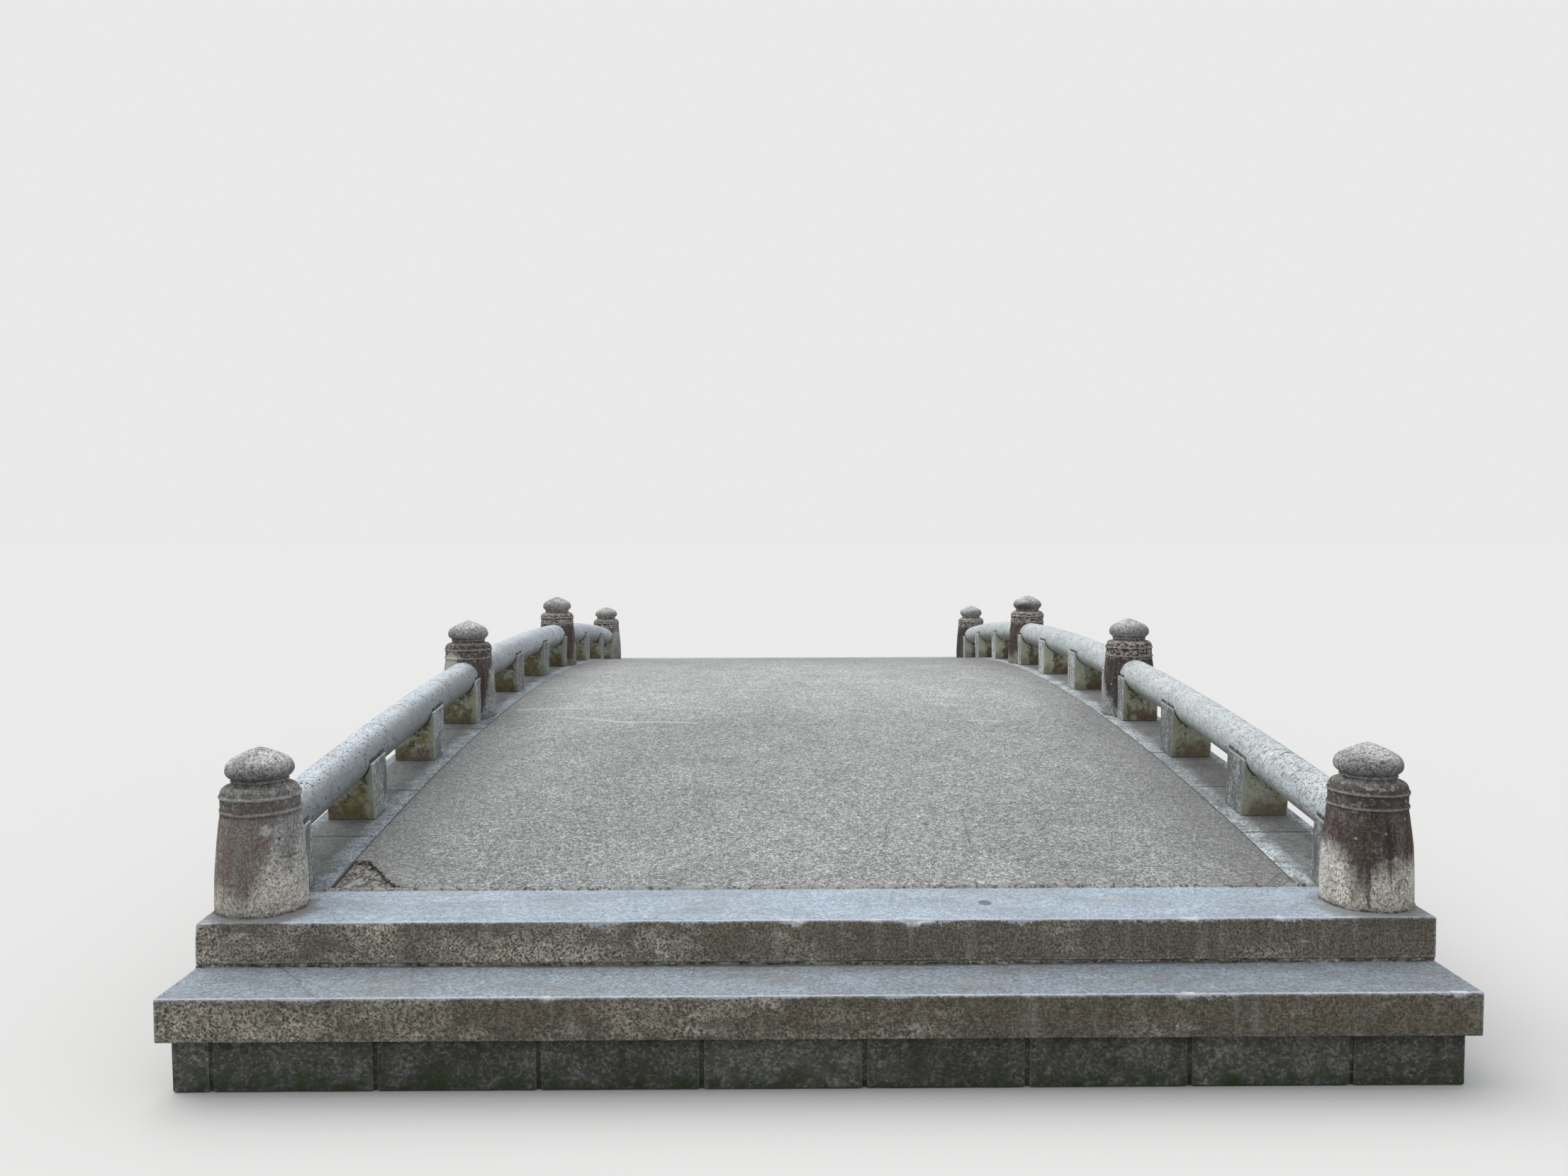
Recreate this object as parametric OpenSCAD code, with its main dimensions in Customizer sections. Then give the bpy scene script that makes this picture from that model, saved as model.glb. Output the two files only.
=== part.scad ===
// Low arched garden footbridge in granite: three spans of arched girders on two pier bents,
// a paved deck between kerb stones, and a round stone rail between turned newels.
// X runs across the bridge, Y along it from the near end to the far end, Z up.
// The origin is on the water line, at the middle of the bridge.

/* [Arch] */
// Radius of the walking surface, seen from the side
arch_r = 34000; // [30000:500:40000]
// Height of the crown above the foot of the piers
crown_h = 780; // [740:5:1100]

/* [Newels] */
// Distance from newel to newel along the bridge
bay_l = 3030; // [2960:10:3100]
// Distance from the middle of the bridge to each row of newels
row_x = 2025; // [2015:5:2030]
// Height of a newel, foot to tip
newel_h = 586; // [586:1:600]
// Largest radius of a newel, just above its foot
newel_r = 161; // [155:1:164]
// Radius of the long curve of the shaft
shaft_curve_r = 2150; // [1800:10:3000]

/* [Rails] */
// Radius of the round rail
rail_r = 90; // [80:1:95]
// Height of the rail's centre above the kerb
rail_h = 260; // [240:1:270]
// Distance from the axis of a newel to the end of the rail in its socket
rail_seat = 108; // [95:1:112]

/* [Rail blocks] */
// Width of a block across the bridge
block_w = 212; // [204:1:220]
// Length of a block along the bridge
block_l = 190; // [150:5:240]
// Distance from the middle of a bay to the middle of its two inner blocks
block_y = 480; // [400:5:560]
// How far a half block reaches from the axis of its newel
end_block_reach = 240; // [215:5:280]
// How far a block stops below the middle of the rail
block_drop = 5; // [0:1:20]
// Open groove between the lips of a block and the rail
groove = 4; // [1:0.5:6]

/* [Deck edge] */
// Distance from the middle of the bridge to the inner edge of the kerb
kerb_in = 1849; // [1830:1:1860]
// Distance from the middle of the bridge to its outer edge
half_w = 2180; // [2175:1:2200]
// Length of a kerb stone
stone_l = 635; // [620:1:640]
// Thickness of a kerb stone
kerb_t = 120; // [110:5:140]
// Open joint between stones
joint = 5; // [2:1:8]
// Thickness of the paving
paving_t = 40; // [30:5:50]

/* [Sills and steps] */
// Height of a sill's top above the foot of the piers
sill_z = 490; // [480:5:500]
// Thickness of a sill
sill_t = 150; // [140:5:160]
// Depth of a sill along the bridge
sill_d = 388; // [380:1:400]
// How far a sill stands out past the axis of the end newels
sill_out = 202; // [190:1:220]
// Visible tread of the step in front of a sill
tread_d = 295; // [250:5:330]
// Depth of the step that runs back under the sill
step_under = 47; // [30:1:60]
// Thickness of a step
step_t = 150; // [120:5:170]
// Open bed joint between a step and the sill over it
bed = 7; // [4:1:10]

/* [Girders and piers] */
// Depth of a girder
girder_h = 210; // [180:5:240]
// Width of an edge girder
edge_girder_w = 340; // [300:10:380]
// Width of an inner girder
inner_girder_w = 300; // [240:10:340]
// Distance from the middle of the bridge to an inner girder's centre
inner_girder_x = 650; // [560:10:760]
// Overhang of the kerb past the face of the edge girder
drip = 40; // [20:5:60]
// Height of a cap beam at the axis of its bent
cap_h = 160; // [130:5:180]
// Width of a cap beam along the bridge
cap_w = 320; // [300:10:380]
// Diameter of a pier column
column_d = 300; // [240:10:320]
// Distance from the middle of the bridge to an outer column
outer_column_x = 1950; // [1850:10:2000]

/* [Abutments] */
// Bearing length of the girders on an abutment
bearing = 259; // [200:1:320]
// How far the front of a step overhangs the abutment
step_lip = 42; // [20:1:60]
// How far an abutment's sides stand in from the ends of the sill
side_lip = 30; // [10:5:60]

/* [Broken corner] */
// Width of the piece missing from the near left corner of the paving
broken_w = 349; // [300:1:400]
// Length of the piece missing from the near left corner of the paving
broken_l = 274; // [200:1:320]

/* [Hidden] */

left = -1;
right = 1;
near = -1;
far = 1;

newel_y = [for (i = [0:3]) (i - 1.5) * bay_l];
pier_y = bay_l / 2;
sill_front = 1.5 * bay_l + sill_out;
deck_end = sill_front - sill_d;
step_front = sill_front + tread_d;
step_z = sill_z - sill_t - bed;
girder_d = kerb_t + girder_h;
arris = 6;

mortar = 1;
curve_fn = 720;
round_fn = 96;
cut = 20;

// Height of the walking surface at a distance from the middle of the bridge
function deck_z(y) = crown_h - arch_r + sqrt(arch_r * arch_r - y * y);

// Points along a circular or elliptical arc
function arc_points(cx, cy, rx, ry, from, to, steps) =
    [for (i = [0:steps]) let (a = from + (to - from) * i / steps) [cx + rx * cos(a), cy + ry * sin(a)]];

// Radius of a newel's shaft at a height above its foot
function shaft_r(z) = newel_r - pow(z - 40, 2) / (2 * shaft_curve_r);

// Sweeps an outline along the arch between two places. The outline's first axis is the distance
// from the centre of the arch, its second axis is the distance across the bridge.
module along_arch(y0, y1) {
    from = acos(y1 / arch_r);
    to = acos(y0 / arch_r);
    translate([0, 0, crown_h - arch_r])
        rotate([90, 0, 90])
            rotate([0, 0, from])
                rotate_extrude(angle = to - from, $fn = curve_fn)
                    children();
}

// A band of stone that follows the arch, from one depth under the walking surface to another
module arch_band(y0, y1, top, bottom, x0, x1) {
    along_arch(y0, y1)
        translate([arch_r - bottom, x0])
            square([bottom - top, x1 - x0]);
}

// The same band with its two lower or upper arrises dressed off
module dressed_band(y0, y1, top, bottom, x0, x1, top_arris, bottom_arris) {
    along_arch(y0, y1)
        translate([arch_r, 0])
            polygon([
                [-top, x0 + top_arris],
                [-top - top_arris, x0],
                [-bottom + bottom_arris, x0],
                [-bottom, x0 + bottom_arris],
                [-bottom, x1 - bottom_arris],
                [-bottom + bottom_arris, x1],
                [-top - top_arris, x1],
                [-top, x1 - top_arris]
            ]);
}

module on_side(side) {
    if (side == right)
        children();
    else
        mirror([1, 0, 0])
            children();
}

module at_end(end) {
    if (end == far)
        children();
    else
        mirror([0, 1, 0])
            children();
}

// Half section of a newel: foot, bowed shaft, two beads with a band between them, rounded
// shoulder, a hollow neck with a fine ring, and a low cap that comes to a point
module newel_section(sink) {
    bead_r = 9;
    low_bead_z = 360;
    high_bead_z = 411;
    band_r = 138;
    shoulder_z = 420;
    neck_z = 451;
    neck_r = 96.5;
    ring_z = 467;
    ring_r = 101.5;
    cap_z = 503;
    cap_r = 120;
    cap_round = 50;
    polygon(concat(
        [[0, -sink], [newel_r - 4, -sink], [newel_r - 4, 0], [newel_r - 1.5, 6]],
        [for (i = [0:9]) let (z = 20 + i * 36.4) [shaft_r(z), z]],
        arc_points(143.5 - bead_r, low_bead_z, bead_r, bead_r, -60, 65, 8),
        [[band_r, low_bead_z + bead_r], [band_r, high_bead_z - bead_r]],
        arc_points(143 - bead_r, high_bead_z, bead_r, bead_r, -60, 60, 8),
        arc_points(106, shoulder_z, 31.5, neck_z - shoulder_z, 5, 85, 8),
        [[neck_r + 6.5, neck_z + 1], [neck_r + 1.5, neck_z + 3.5]],
        [[neck_r, neck_z + 7], [neck_r + 0.5, neck_z + 10.5]],
        arc_points(ring_r - 4.5, ring_z, 4.5, 4.5, -75, 75, 6),
        arc_points(86, cap_z + 2, cap_r - 86, 32, -68, -5, 6),
        arc_points(cap_r - cap_round, cap_z, cap_round, cap_round, 0, 57, 8),
        tip_points(cap_r - cap_round + cap_round * cos(57), cap_z + cap_round * sin(57), 33)
    ));
}

// The upper curve of a newel's cap, from the end of its rounded shoulder to the point
function tip_points(r0, z0, slope) =
    let (
        chord = sqrt(r0 * r0 + pow(newel_h - z0, 2)),
        chord_angle = atan2(newel_h - z0, r0),
        half_turn = slope - chord_angle,
        curve_r = chord / (2 * sin(half_turn)),
        centre_r = r0 - curve_r * sin(slope),
        centre_z = z0 - curve_r * cos(slope)
    )
    [for (i = [1:8]) let (a = 90 - slope + 2 * half_turn * i / 8)
        [i == 8 ? 0 : centre_r + curve_r * cos(a), centre_z + curve_r * sin(a)]];

// A length of round bar along the arch, at the rail's height, between two places along the bridge
module rail_bar(y0, y1, r) {
    foreshorten = arch_r / (arch_r + rail_h);
    along_arch(y0 * foreshorten, y1 * foreshorten)
        translate([arch_r + rail_h, row_x])
            circle(r = r, $fn = round_fn);
}

// End newels stand on the sills. Middle newels stand on the kerb, and their feet are cut to its
// slope. Each has a round socket for the end of every rail that it holds.
module newel(side, i) {
    y = newel_y[i];
    on_sill = i == 0 || i == 3;
    sink = on_sill ? 0 : 12;
    socket = rail_seat - mortar;
    color("darkgray")
        on_side(side)
            difference() {
                translate([row_x, y, on_sill ? sill_z : deck_z(y)])
                    rotate_extrude($fn = round_fn)
                        newel_section(sink);
                if (!on_sill)
                    arch_band(y - 180, y + 180, 0, 60, row_x - 200, row_x + 200);
                if (i < 3)
                    rail_bar(y + socket, y + newel_r + cut, rail_r + mortar);
                if (i > 0)
                    rail_bar(y - newel_r - cut, y - socket, rail_r + mortar);
            }
}

// The space that a newel takes up, with a thin mortar joint round it
module newel_space(y) {
    foot_z = abs(y) > pier_y + 1 ? sill_z : deck_z(y);
    shaft_top = 348;
    translate([row_x, y, foot_z])
        rotate_extrude($fn = round_fn)
            polygon(concat(
                [[0, -cut], [newel_r + mortar, -cut]],
                [for (z = [40, 143, 245, shaft_top]) [shaft_r(z) + mortar, z]],
                [[0, shaft_top]]
            ));
}

// One bay of the round rail. Both ends are let into the newels.
module rail(side, bay) {
    color("gainsboro")
        on_side(side)
            rail_bar(newel_y[bay] + rail_seat, newel_y[bay + 1] - rail_seat, rail_r);
}

// A block with a hollow seat along its top that cradles the rail between two thin lips. The seat
// is a little wider than the rail, which beds on the bottom of it.
module rail_block(y0, y1) {
    along_arch(y0, y1)
        difference() {
            translate([arch_r, row_x - block_w / 2])
                square([rail_h - block_drop, block_w]);
            translate([arch_r + rail_h + groove, row_x])
                circle(r = rail_r + mortar + groove, $fn = round_fn);
        }
}

// The four blocks of a bay: two whole ones, and a half one against each newel
module rail_blocks(side, bay) {
    y0 = newel_y[bay];
    y1 = newel_y[bay + 1];
    middle = (y0 + y1) / 2;
    color("darkgray")
        on_side(side) {
            difference() {
                rail_block(y0 + newel_r / 2, y0 + end_block_reach);
                newel_space(y0);
            }
            for (offset = [-block_y, block_y])
                rail_block(middle + offset - block_l / 2, middle + offset + block_l / 2);
            difference() {
                rail_block(y1 - end_block_reach, y1 - newel_r / 2);
                newel_space(y1);
            }
        }
}

// Ends of the stones from first to last. The two end stones are cut short at the sills.
function stone_from(k) = max(k * stone_l, -deck_end) + joint / 2;
function stone_to(k) = min((k + 1) * stone_l, deck_end) - joint / 2;

module kerb(side) {
    color("slategray")
        on_side(side)
            for (k = [-7:6])
                dressed_band(stone_from(k), stone_to(k), 0, kerb_t, kerb_in, half_w, arris, 0);
}

module deck_slabs(first, last) {
    color("dimgray")
        for (k = [first:last])
            arch_band(stone_from(k), stone_to(k), paving_t, kerb_t, -kerb_in, kerb_in);
}

module paving_strip(y0, y1) {
    arch_band(y0, y1, 0, paving_t, -kerb_in, kerb_in);
}

// Outline, seen from above, of the corner that has broken out of the paving
module broken_outline() {
    polygon([
        [0, 0], [0, broken_l * 0.91], [14, broken_l], [64, broken_l * 0.98],
        [109, broken_l * 0.76], [169, broken_l * 0.45], [227, broken_l * 0.16],
        [274, broken_l * 0.05], [broken_w, 0]
    ]);
}

module paving(end) {
    edge = 2 * stone_l;
    color("rosybrown")
        if (end == 0)
            paving_strip(-edge, edge);
        else if (end == far)
            paving_strip(edge, deck_end - joint / 2);
        else
            difference() {
                paving_strip(-deck_end + joint / 2, -edge);
                translate([-kerb_in - 1, -deck_end, deck_z(deck_end) - paving_t - cut])
                    linear_extrude(paving_t + 3 * cut)
                        broken_outline();
            }
}

// Girders of one span, with an open joint over each pier
function girder_from(span) = span == 0 ? -deck_end + joint / 2 : newel_y[span] + joint / 2;
function girder_to(span) = span == 2 ? deck_end - joint / 2 : newel_y[span + 1] - joint / 2;

// Four girders carry each span: a wide one under each kerb and two narrower ones between them
module girders(span) {
    face = half_w - drip;
    inner_face = inner_girder_x - inner_girder_w / 2;
    color("gray")
        for (side = [left, right])
            on_side(side)
                for (x = [[face - edge_girder_w, face], [inner_face, inner_face + inner_girder_w]])
                    dressed_band(girder_from(span), girder_to(span), kerb_t, girder_d,
                        x[0], x[1], 0, 2 * arris);
}

cap_bottom = deck_z(pier_y) - girder_d - cap_h;

// A cap beam lies across the columns. Its top is dressed to the curve of the girders.
module cap_beam(end) {
    from = pier_y - cap_w / 2;
    to = pier_y + cap_w / 2;
    color("darkgray")
        at_end(end)
            difference() {
                translate([-half_w, from, cap_bottom])
                    cube([2 * half_w, cap_w, cap_h + cut]);
                arch_band(from - 1, to + 1, 0, girder_d, -half_w - 1, half_w + 1);
            }
}

module pier_columns(end) {
    color("darkgray")
        for (x = [-outer_column_x, -inner_girder_x, inner_girder_x, outer_column_x])
            translate([x, end * pier_y, 0])
                cylinder(d = column_d, h = cap_bottom, $fn = round_fn);
}

// A long stone laid across the end of the bridge, with its upper front arris rounded by wear
module cross_stone(front, depth, top, thickness) {
    wear = 9;
    translate([-half_w, 0, 0])
        rotate([90, 0, 90])
            linear_extrude(2 * half_w)
                polygon(concat(
                    [[front - depth, top - thickness], [front, top - thickness]],
                    arc_points(front - wear, top - wear, wear, wear, 0, 90, 5),
                    [[front - depth, top]]
                ));
}

module sill(end) {
    color("lightsteelblue")
        at_end(end)
            cross_stone(sill_front, sill_d, sill_z, sill_t);
}

module step(end) {
    color("lightsteelblue")
        at_end(end)
            cross_stone(step_front, tread_d + step_under, step_z, step_t);
}

// Stepped masonry: a ledge under the step, a seat under the sill, and a bearing for the girders
module abutment(end) {
    back = step_front - step_lip;
    seat_back = sill_front - step_under;
    face = deck_end - bearing;
    width = half_w - side_lip;
    color("dimgray")
        at_end(end)
            difference() {
                translate([-width, 0, 0])
                    rotate([90, 0, 90])
                        linear_extrude(2 * width)
                            polygon([
                                [face, 0], [back, 0], [back, step_z - step_t], [seat_back, step_z - step_t],
                                [seat_back, sill_z - sill_t], [face, sill_z - sill_t]
                            ]);
                arch_band(face - 10, deck_end, 0, girder_d, -half_w, half_w);
            }
}

newel(left, 0);  // newel_left_1
newel(left, 1);  // newel_left_2
newel(left, 2);  // newel_left_3
newel(left, 3);  // newel_left_4
newel(right, 0);  // newel_right_1
newel(right, 1);  // newel_right_2
newel(right, 2);  // newel_right_3
newel(right, 3);  // newel_right_4
rail(left, 0);  // rail_left_1
rail(left, 1);  // rail_left_2
rail(left, 2);  // rail_left_3
rail(right, 0);  // rail_right_1
rail(right, 1);  // rail_right_2
rail(right, 2);  // rail_right_3
rail_blocks(left, 0);  // rail_blocks_left_1
rail_blocks(left, 1);  // rail_blocks_left_2
rail_blocks(left, 2);  // rail_blocks_left_3
rail_blocks(right, 0);  // rail_blocks_right_1
rail_blocks(right, 1);  // rail_blocks_right_2
rail_blocks(right, 2);  // rail_blocks_right_3
kerb(left);  // kerb_left
kerb(right);  // kerb_right
paving(near);  // paving_near
paving(0);  // paving_middle
paving(far);  // paving_far
deck_slabs(-7, -3);  // deck_slabs_near
deck_slabs(-2, 1);  // deck_slabs_middle
deck_slabs(2, 6);  // deck_slabs_far
girders(0);  // girders_near
girders(1);  // girders_middle
girders(2);  // girders_far
cap_beam(near);  // cap_beam_near
cap_beam(far);  // cap_beam_far
pier_columns(near);  // pier_columns_near
pier_columns(far);  // pier_columns_far
sill(near);  // sill_near
sill(far);  // sill_far
step(near);  // step_near
step(far);  // step_far
abutment(near);  // abutment_near
abutment(far);  // abutment_far
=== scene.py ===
import math
import random
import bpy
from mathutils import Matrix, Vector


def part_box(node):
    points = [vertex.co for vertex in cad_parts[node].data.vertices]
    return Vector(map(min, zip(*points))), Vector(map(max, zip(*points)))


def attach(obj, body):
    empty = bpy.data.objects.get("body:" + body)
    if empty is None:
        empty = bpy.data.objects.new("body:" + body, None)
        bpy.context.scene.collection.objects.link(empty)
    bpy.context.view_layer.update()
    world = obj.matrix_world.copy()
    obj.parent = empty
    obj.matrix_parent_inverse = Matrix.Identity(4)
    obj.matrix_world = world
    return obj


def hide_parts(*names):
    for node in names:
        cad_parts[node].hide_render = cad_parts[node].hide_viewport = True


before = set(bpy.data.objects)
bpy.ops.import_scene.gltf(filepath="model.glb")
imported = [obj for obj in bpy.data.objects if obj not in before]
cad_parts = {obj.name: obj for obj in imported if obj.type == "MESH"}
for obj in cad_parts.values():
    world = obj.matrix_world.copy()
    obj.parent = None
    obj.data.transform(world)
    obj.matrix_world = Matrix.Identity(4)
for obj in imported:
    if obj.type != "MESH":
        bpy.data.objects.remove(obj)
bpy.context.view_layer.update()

from types import SimpleNamespace

import bpy
import numpy as np
from mathutils import Matrix, Vector, noise

# Camera
# The place and turn of the camera were solved from points measured on the photograph: a 28 mm lens
# at eye height, just left of the middle of the bridge and looking slightly down.

photo_width = 2212
focal_px = 1719.3
eye = Vector((-0.144, -8.967, 1.8245))
pitch_down, yaw_right, roll = 2.31, 0.39, 0.17


def new_object(name, data):
    """Puts a camera, a lamp or a mesh in the scene, at the origin."""
    made = bpy.data.objects.new(name, data)
    bpy.context.scene.collection.objects.link(made)
    return made


turn = Matrix.Rotation(math.radians(-yaw_right), 3, "Z")
turn @= Matrix.Rotation(math.radians(90 - pitch_down), 3, "X")
turn @= Matrix.Rotation(math.radians(-roll), 3, "Z")
lens = bpy.data.cameras.new("camera")
lens.sensor_width = 36
lens.lens = focal_px / photo_width * lens.sensor_width
camera = new_object("camera", lens)
camera.matrix_world = Matrix.Translation(eye) @ turn.to_4x4()
bpy.context.scene.camera = camera

# Abutments
# Each bank ends in a stepped block of coursed granite that stands in the water and carries the girders,
# the sill and the step. The stones are split square, laid in mortar, and weathered at their arrises.

arch_radius = 34.0
arch_centre = 0.780 - arch_radius


class Value:
    """What a node gives out. A sum on it adds a node to the tree that is being drawn."""

    tree = None

    def __init__(self, socket):
        self.socket = socket

    def __add__(self, other):
        return calc("ADD", self, other)

    def __sub__(self, other):
        return calc("SUBTRACT", self, other)

    def __rsub__(self, other):
        return calc("SUBTRACT", other, self)

    def __mul__(self, other):
        return calc("MULTIPLY", self, other)

    def __truediv__(self, other):
        return calc("DIVIDE", self, other)

    def __rtruediv__(self, other):
        return calc("DIVIDE", other, self)

    def __lt__(self, other):
        return calc("LESS_THAN", self, other)

    def __gt__(self, other):
        return calc("GREATER_THAN", self, other)

    def __abs__(self):
        return calc("ABSOLUTE", self)


def give(socket, value):
    """Links a socket to what feeds it, or sets its value."""
    if isinstance(value, Value):
        Value.tree.links.new(value.socket, socket)
    elif socket.type == "RGBA":
        socket.default_value = (*value, 1.0)
    else:
        socket.default_value = value


def node(kind, inputs=None, out=0, **settings):
    """Adds a node to the tree, feeds its inputs and returns one of its outputs."""
    made = Value.tree.nodes.new(kind)
    for name, setting in settings.items():
        setattr(made, name, setting)
    for key, value in (inputs or {}).items():
        give(made.inputs[key], value)
    return Value(made.outputs[out])


def is_vector(value):
    """Whether a value is a vector or a colour."""
    return isinstance(value, tuple) or isinstance(value, Value) and value.socket.type in ("VECTOR", "RGBA")


def calc(operation, *values):
    """The result of a sum on numbers, or on vectors where there is a vector in it."""
    vectors = [is_vector(value) for value in values]
    if operation == "MULTIPLY" and sum(vectors) == 1:
        vector, number = values if vectors[0] else values[::-1]
        return node("ShaderNodeVectorMath", {0: vector, "Scale": number}, operation="SCALE")
    if any(vectors):
        out = "Value" if operation in ("LENGTH", "DOT_PRODUCT") else "Vector"
        return node("ShaderNodeVectorMath", dict(enumerate(values)), out, operation=operation)
    return node("ShaderNodeMath", dict(enumerate(values)), operation=operation)


def parts_of(vector):
    """The three parts of a vector or a colour."""
    return [Value(part) for part in node("ShaderNodeSeparateXYZ", {0: vector}).socket.node.outputs]


def vector_of(x, y, z):
    """A vector from its three parts."""
    return node("ShaderNodeCombineXYZ", {0: x, 1: y, 2: z})


def between(value, low, high, start=0.0, end=1.0):
    """Goes smoothly from start to end as the value goes from low to high."""
    return node("ShaderNodeMapRange", {0: value, 1: low, 2: high, 3: start, 4: end},
                interpolation_type="SMOOTHSTEP")


def cloud(place, scale, detail=3, roughness=0.5):
    """Soft noise from 0 to 1. Its features are about one over the scale across."""
    return node("ShaderNodeTexNoise", {"Vector": place, "Scale": scale, "Detail": detail,
                                       "Roughness": roughness})


def lay_over(colour, mask, over):
    """Lays one colour over another where the mask is 1."""
    return node("ShaderNodeMix", {0: mask, 6: colour, 7: over}, out=2, data_type="RGBA")


def spelled(key):
    """The name that nodes show for a socket."""
    return key.replace("_", " ").title()


def new_group(name, kind, inputs, outputs):
    """Starts a node group. Each input has the value that it holds by itself, or else its type."""
    Value.tree = bpy.data.node_groups.new(name, kind + "NodeTree")
    for in_out, sockets in (("INPUT", inputs), ("OUTPUT", outputs)):
        for key, value in sockets.items():
            number_type = {float: "Float", int: "Int"}.get(type(value))
            socket = Value.tree.interface.new_socket(
                spelled(key), in_out=in_out, socket_type="NodeSocket" + (number_type or value))
            if number_type:
                socket.default_value = value
    given = Value.tree.nodes.new("NodeGroupInput").outputs
    return Value.tree, SimpleNamespace(**{key: Value(socket) for key, socket in zip(inputs, given)})


def give_out(**results):
    """Ends a node group with what it gives out."""
    outlet = Value.tree.nodes.new("NodeGroupOutput")
    for key, value in results.items():
        give(outlet.inputs[spelled(key)], value)


def use(group, **inputs):
    """Places a node group and returns what it gives out."""
    placed = Value.tree.nodes.new(Value.tree.bl_idname.replace("NodeTree", "NodeGroup"))
    placed.node_tree = group
    for key, value in inputs.items():
        give(placed.inputs[spelled(key)], value)
    results = [Value(socket) for socket in placed.outputs]
    return results if len(results) > 1 else results[0]


def on_object():
    """The place on the object, in metres."""
    return node("ShaderNodeTexCoord", out="Object")


def mark(name):
    """A number that was stored on the mesh."""
    return node("ShaderNodeAttribute", out="Fac", attribute_name=name)


# Granite: grains of feldspar, quartz and mica, under soft clouds of tone
granite, given = new_group("Granite", "Shader", dict(
    grain=0.006, body="Color", dark_grain="Color", pale_grain="Color", speckle=0.6, mottle=0.2, clouding=0.3),
    dict(color="Color", height="Float"))
place = on_object()
pick = parts_of(node("ShaderNodeTexVoronoi", {"Vector": place, "Scale": 1 / given.grain}, out="Color"))
clump = parts_of(node("ShaderNodeTexVoronoi", {"Vector": place, "Scale": 0.5 / given.grain}, out="Color"))[0]
close = cloud(place, 60, 3, 0.6)
tone = cloud(place, 7, 5, 0.62) * 0.65 + close * 0.35
shade = (tone - 0.5) * given.clouding + 0.5
mottled = (clump - 0.5) * (given.mottle * 2) + 1
colour = lay_over(given.body, between(pick[0], 0.30, 0.16) * given.speckle, given.dark_grain)
colour = lay_over(colour, between(pick[0], 0.66, 0.84) * given.speckle, given.pale_grain)
give_out(color=colour * (shade * mottled * 2), height=pick[1] * 0.45 + close)

# Water marks: ragged runs that hang down a face
water_marks, given = new_group("Water marks", "Shader", dict(width=0.05, length=8.0, cover=0.5),
                               dict(mask="Float"))
place = on_object()
across = 1 / given.width
runs = cloud(place * vector_of(1, 1, 1 / given.length), across, 4, 0.6)
blots = cloud(place, across * 0.35, 4, 0.6)
edge = given.cover * -0.4 + 0.7
give_out(mask=between(runs * 0.6 + blots * 0.4, edge, edge + 0.12))

# Worn arris: where an edge of the stone has been rubbed clean
worn_arris, given = new_group("Worn arris", "Shader", dict(reach=0.5), dict(mask="Float"))
level = (cloud(on_object(), 70, 4, 0.65) - 0.5) * 0.9 + mark("wear")
give_out(mask=between(level, 1 - given.reach, 1))


def new_stone(name):
    """Starts a material. What follows is drawn in it."""
    material = bpy.data.materials.new(name)
    material.use_nodes = True
    Value.tree = material.node_tree
    return material


def finish_stone(colour, height, depth, roughness):
    """Gives the surface its colour, its roughness and a grain of that depth in metres."""
    surface = Value.tree.nodes["Principled BSDF"].inputs
    give(surface["Normal"], node("ShaderNodeBump", {"Height": height, "Distance": depth, "Strength": 1}))
    give(surface["Base Color"], colour)
    give(surface["Roughness"], roughness)
    surface["Specular IOR Level"].default_value = 0.3


def damp_stone(name, body, moss):
    """Granite that stands in the wet: dark, streaked, and green towards its foot."""
    stone = new_stone(name)
    colour, grains = use(granite, grain=0.008, body=body, dark_grain=(0.07, 0.068, 0.065),
                         pale_grain=(0.46, 0.45, 0.42), speckle=0.5, clouding=1.2)
    wet = use(water_marks, width=0.07, length=7.0, cover=0.5)
    colour = lay_over(colour, wet * 0.55, (0.075, 0.066, 0.052)) * (mark("stone") * 0.4 + 0.8)
    patchy = between(cloud(on_object(), 12, 5, 0.6), 0.38, 0.62)
    green = between(parts_of(on_object())[2], 0.16, 0, 0, moss) * patchy
    colour = lay_over(colour, green, (0.055, 0.075, 0.028))
    colour = lay_over(colour, use(worn_arris, reach=0.4) * 0.3, (0.40, 0.39, 0.36))
    finish_stone(colour, grains, 0.003, 0.85)
    return stone


# A stone with worn arrises: a block of that half size, whose edges are rounded by an amount that wanders,
# knocked off in places, and whose faces are slightly hollow. Nothing stands out past the block.
worn_block, given = new_group("Worn block", "Geometry", dict(
    unit="Vector", half="Vector", centre="Vector", wear="Float", knocks="Float", unevenness="Float"),
    dict(position="Vector", face="Vector", edge="Float"))
crowding, rubbed_reach = 0.85, 0.022
flat = (given.unit + calc("SINE", given.unit * math.pi) * (crowding / math.pi)) * given.half
where = flat + given.centre
rubbed = cloud(where, 14, 3, 0.6) * 1.6 + 0.2
radius = given.wear * (rubbed + between(cloud(where, 5, 2), 0.60, 0.76, 0, given.knocks))
core = given.half - vector_of(radius, radius, radius)
inner = calc("MINIMUM", calc("MAXIMUM", flat, core * -1), core)
outward = calc("NORMALIZE", flat - inner)
rounded = outward * (radius - cloud(where, 9, 4, 0.6) * given.unevenness)
gap = parts_of(given.half - abs(flat))
least, most = calc("MINIMUM", gap[0], gap[1]), calc("MAXIMUM", gap[0], gap[1])
to_arris = calc("MAXIMUM", least, calc("MINIMUM", most, gap[2]))
give_out(position=inner + rounded, face=outward, edge=1 - calc("MINIMUM", to_arris / rubbed_reach, 1))

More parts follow.
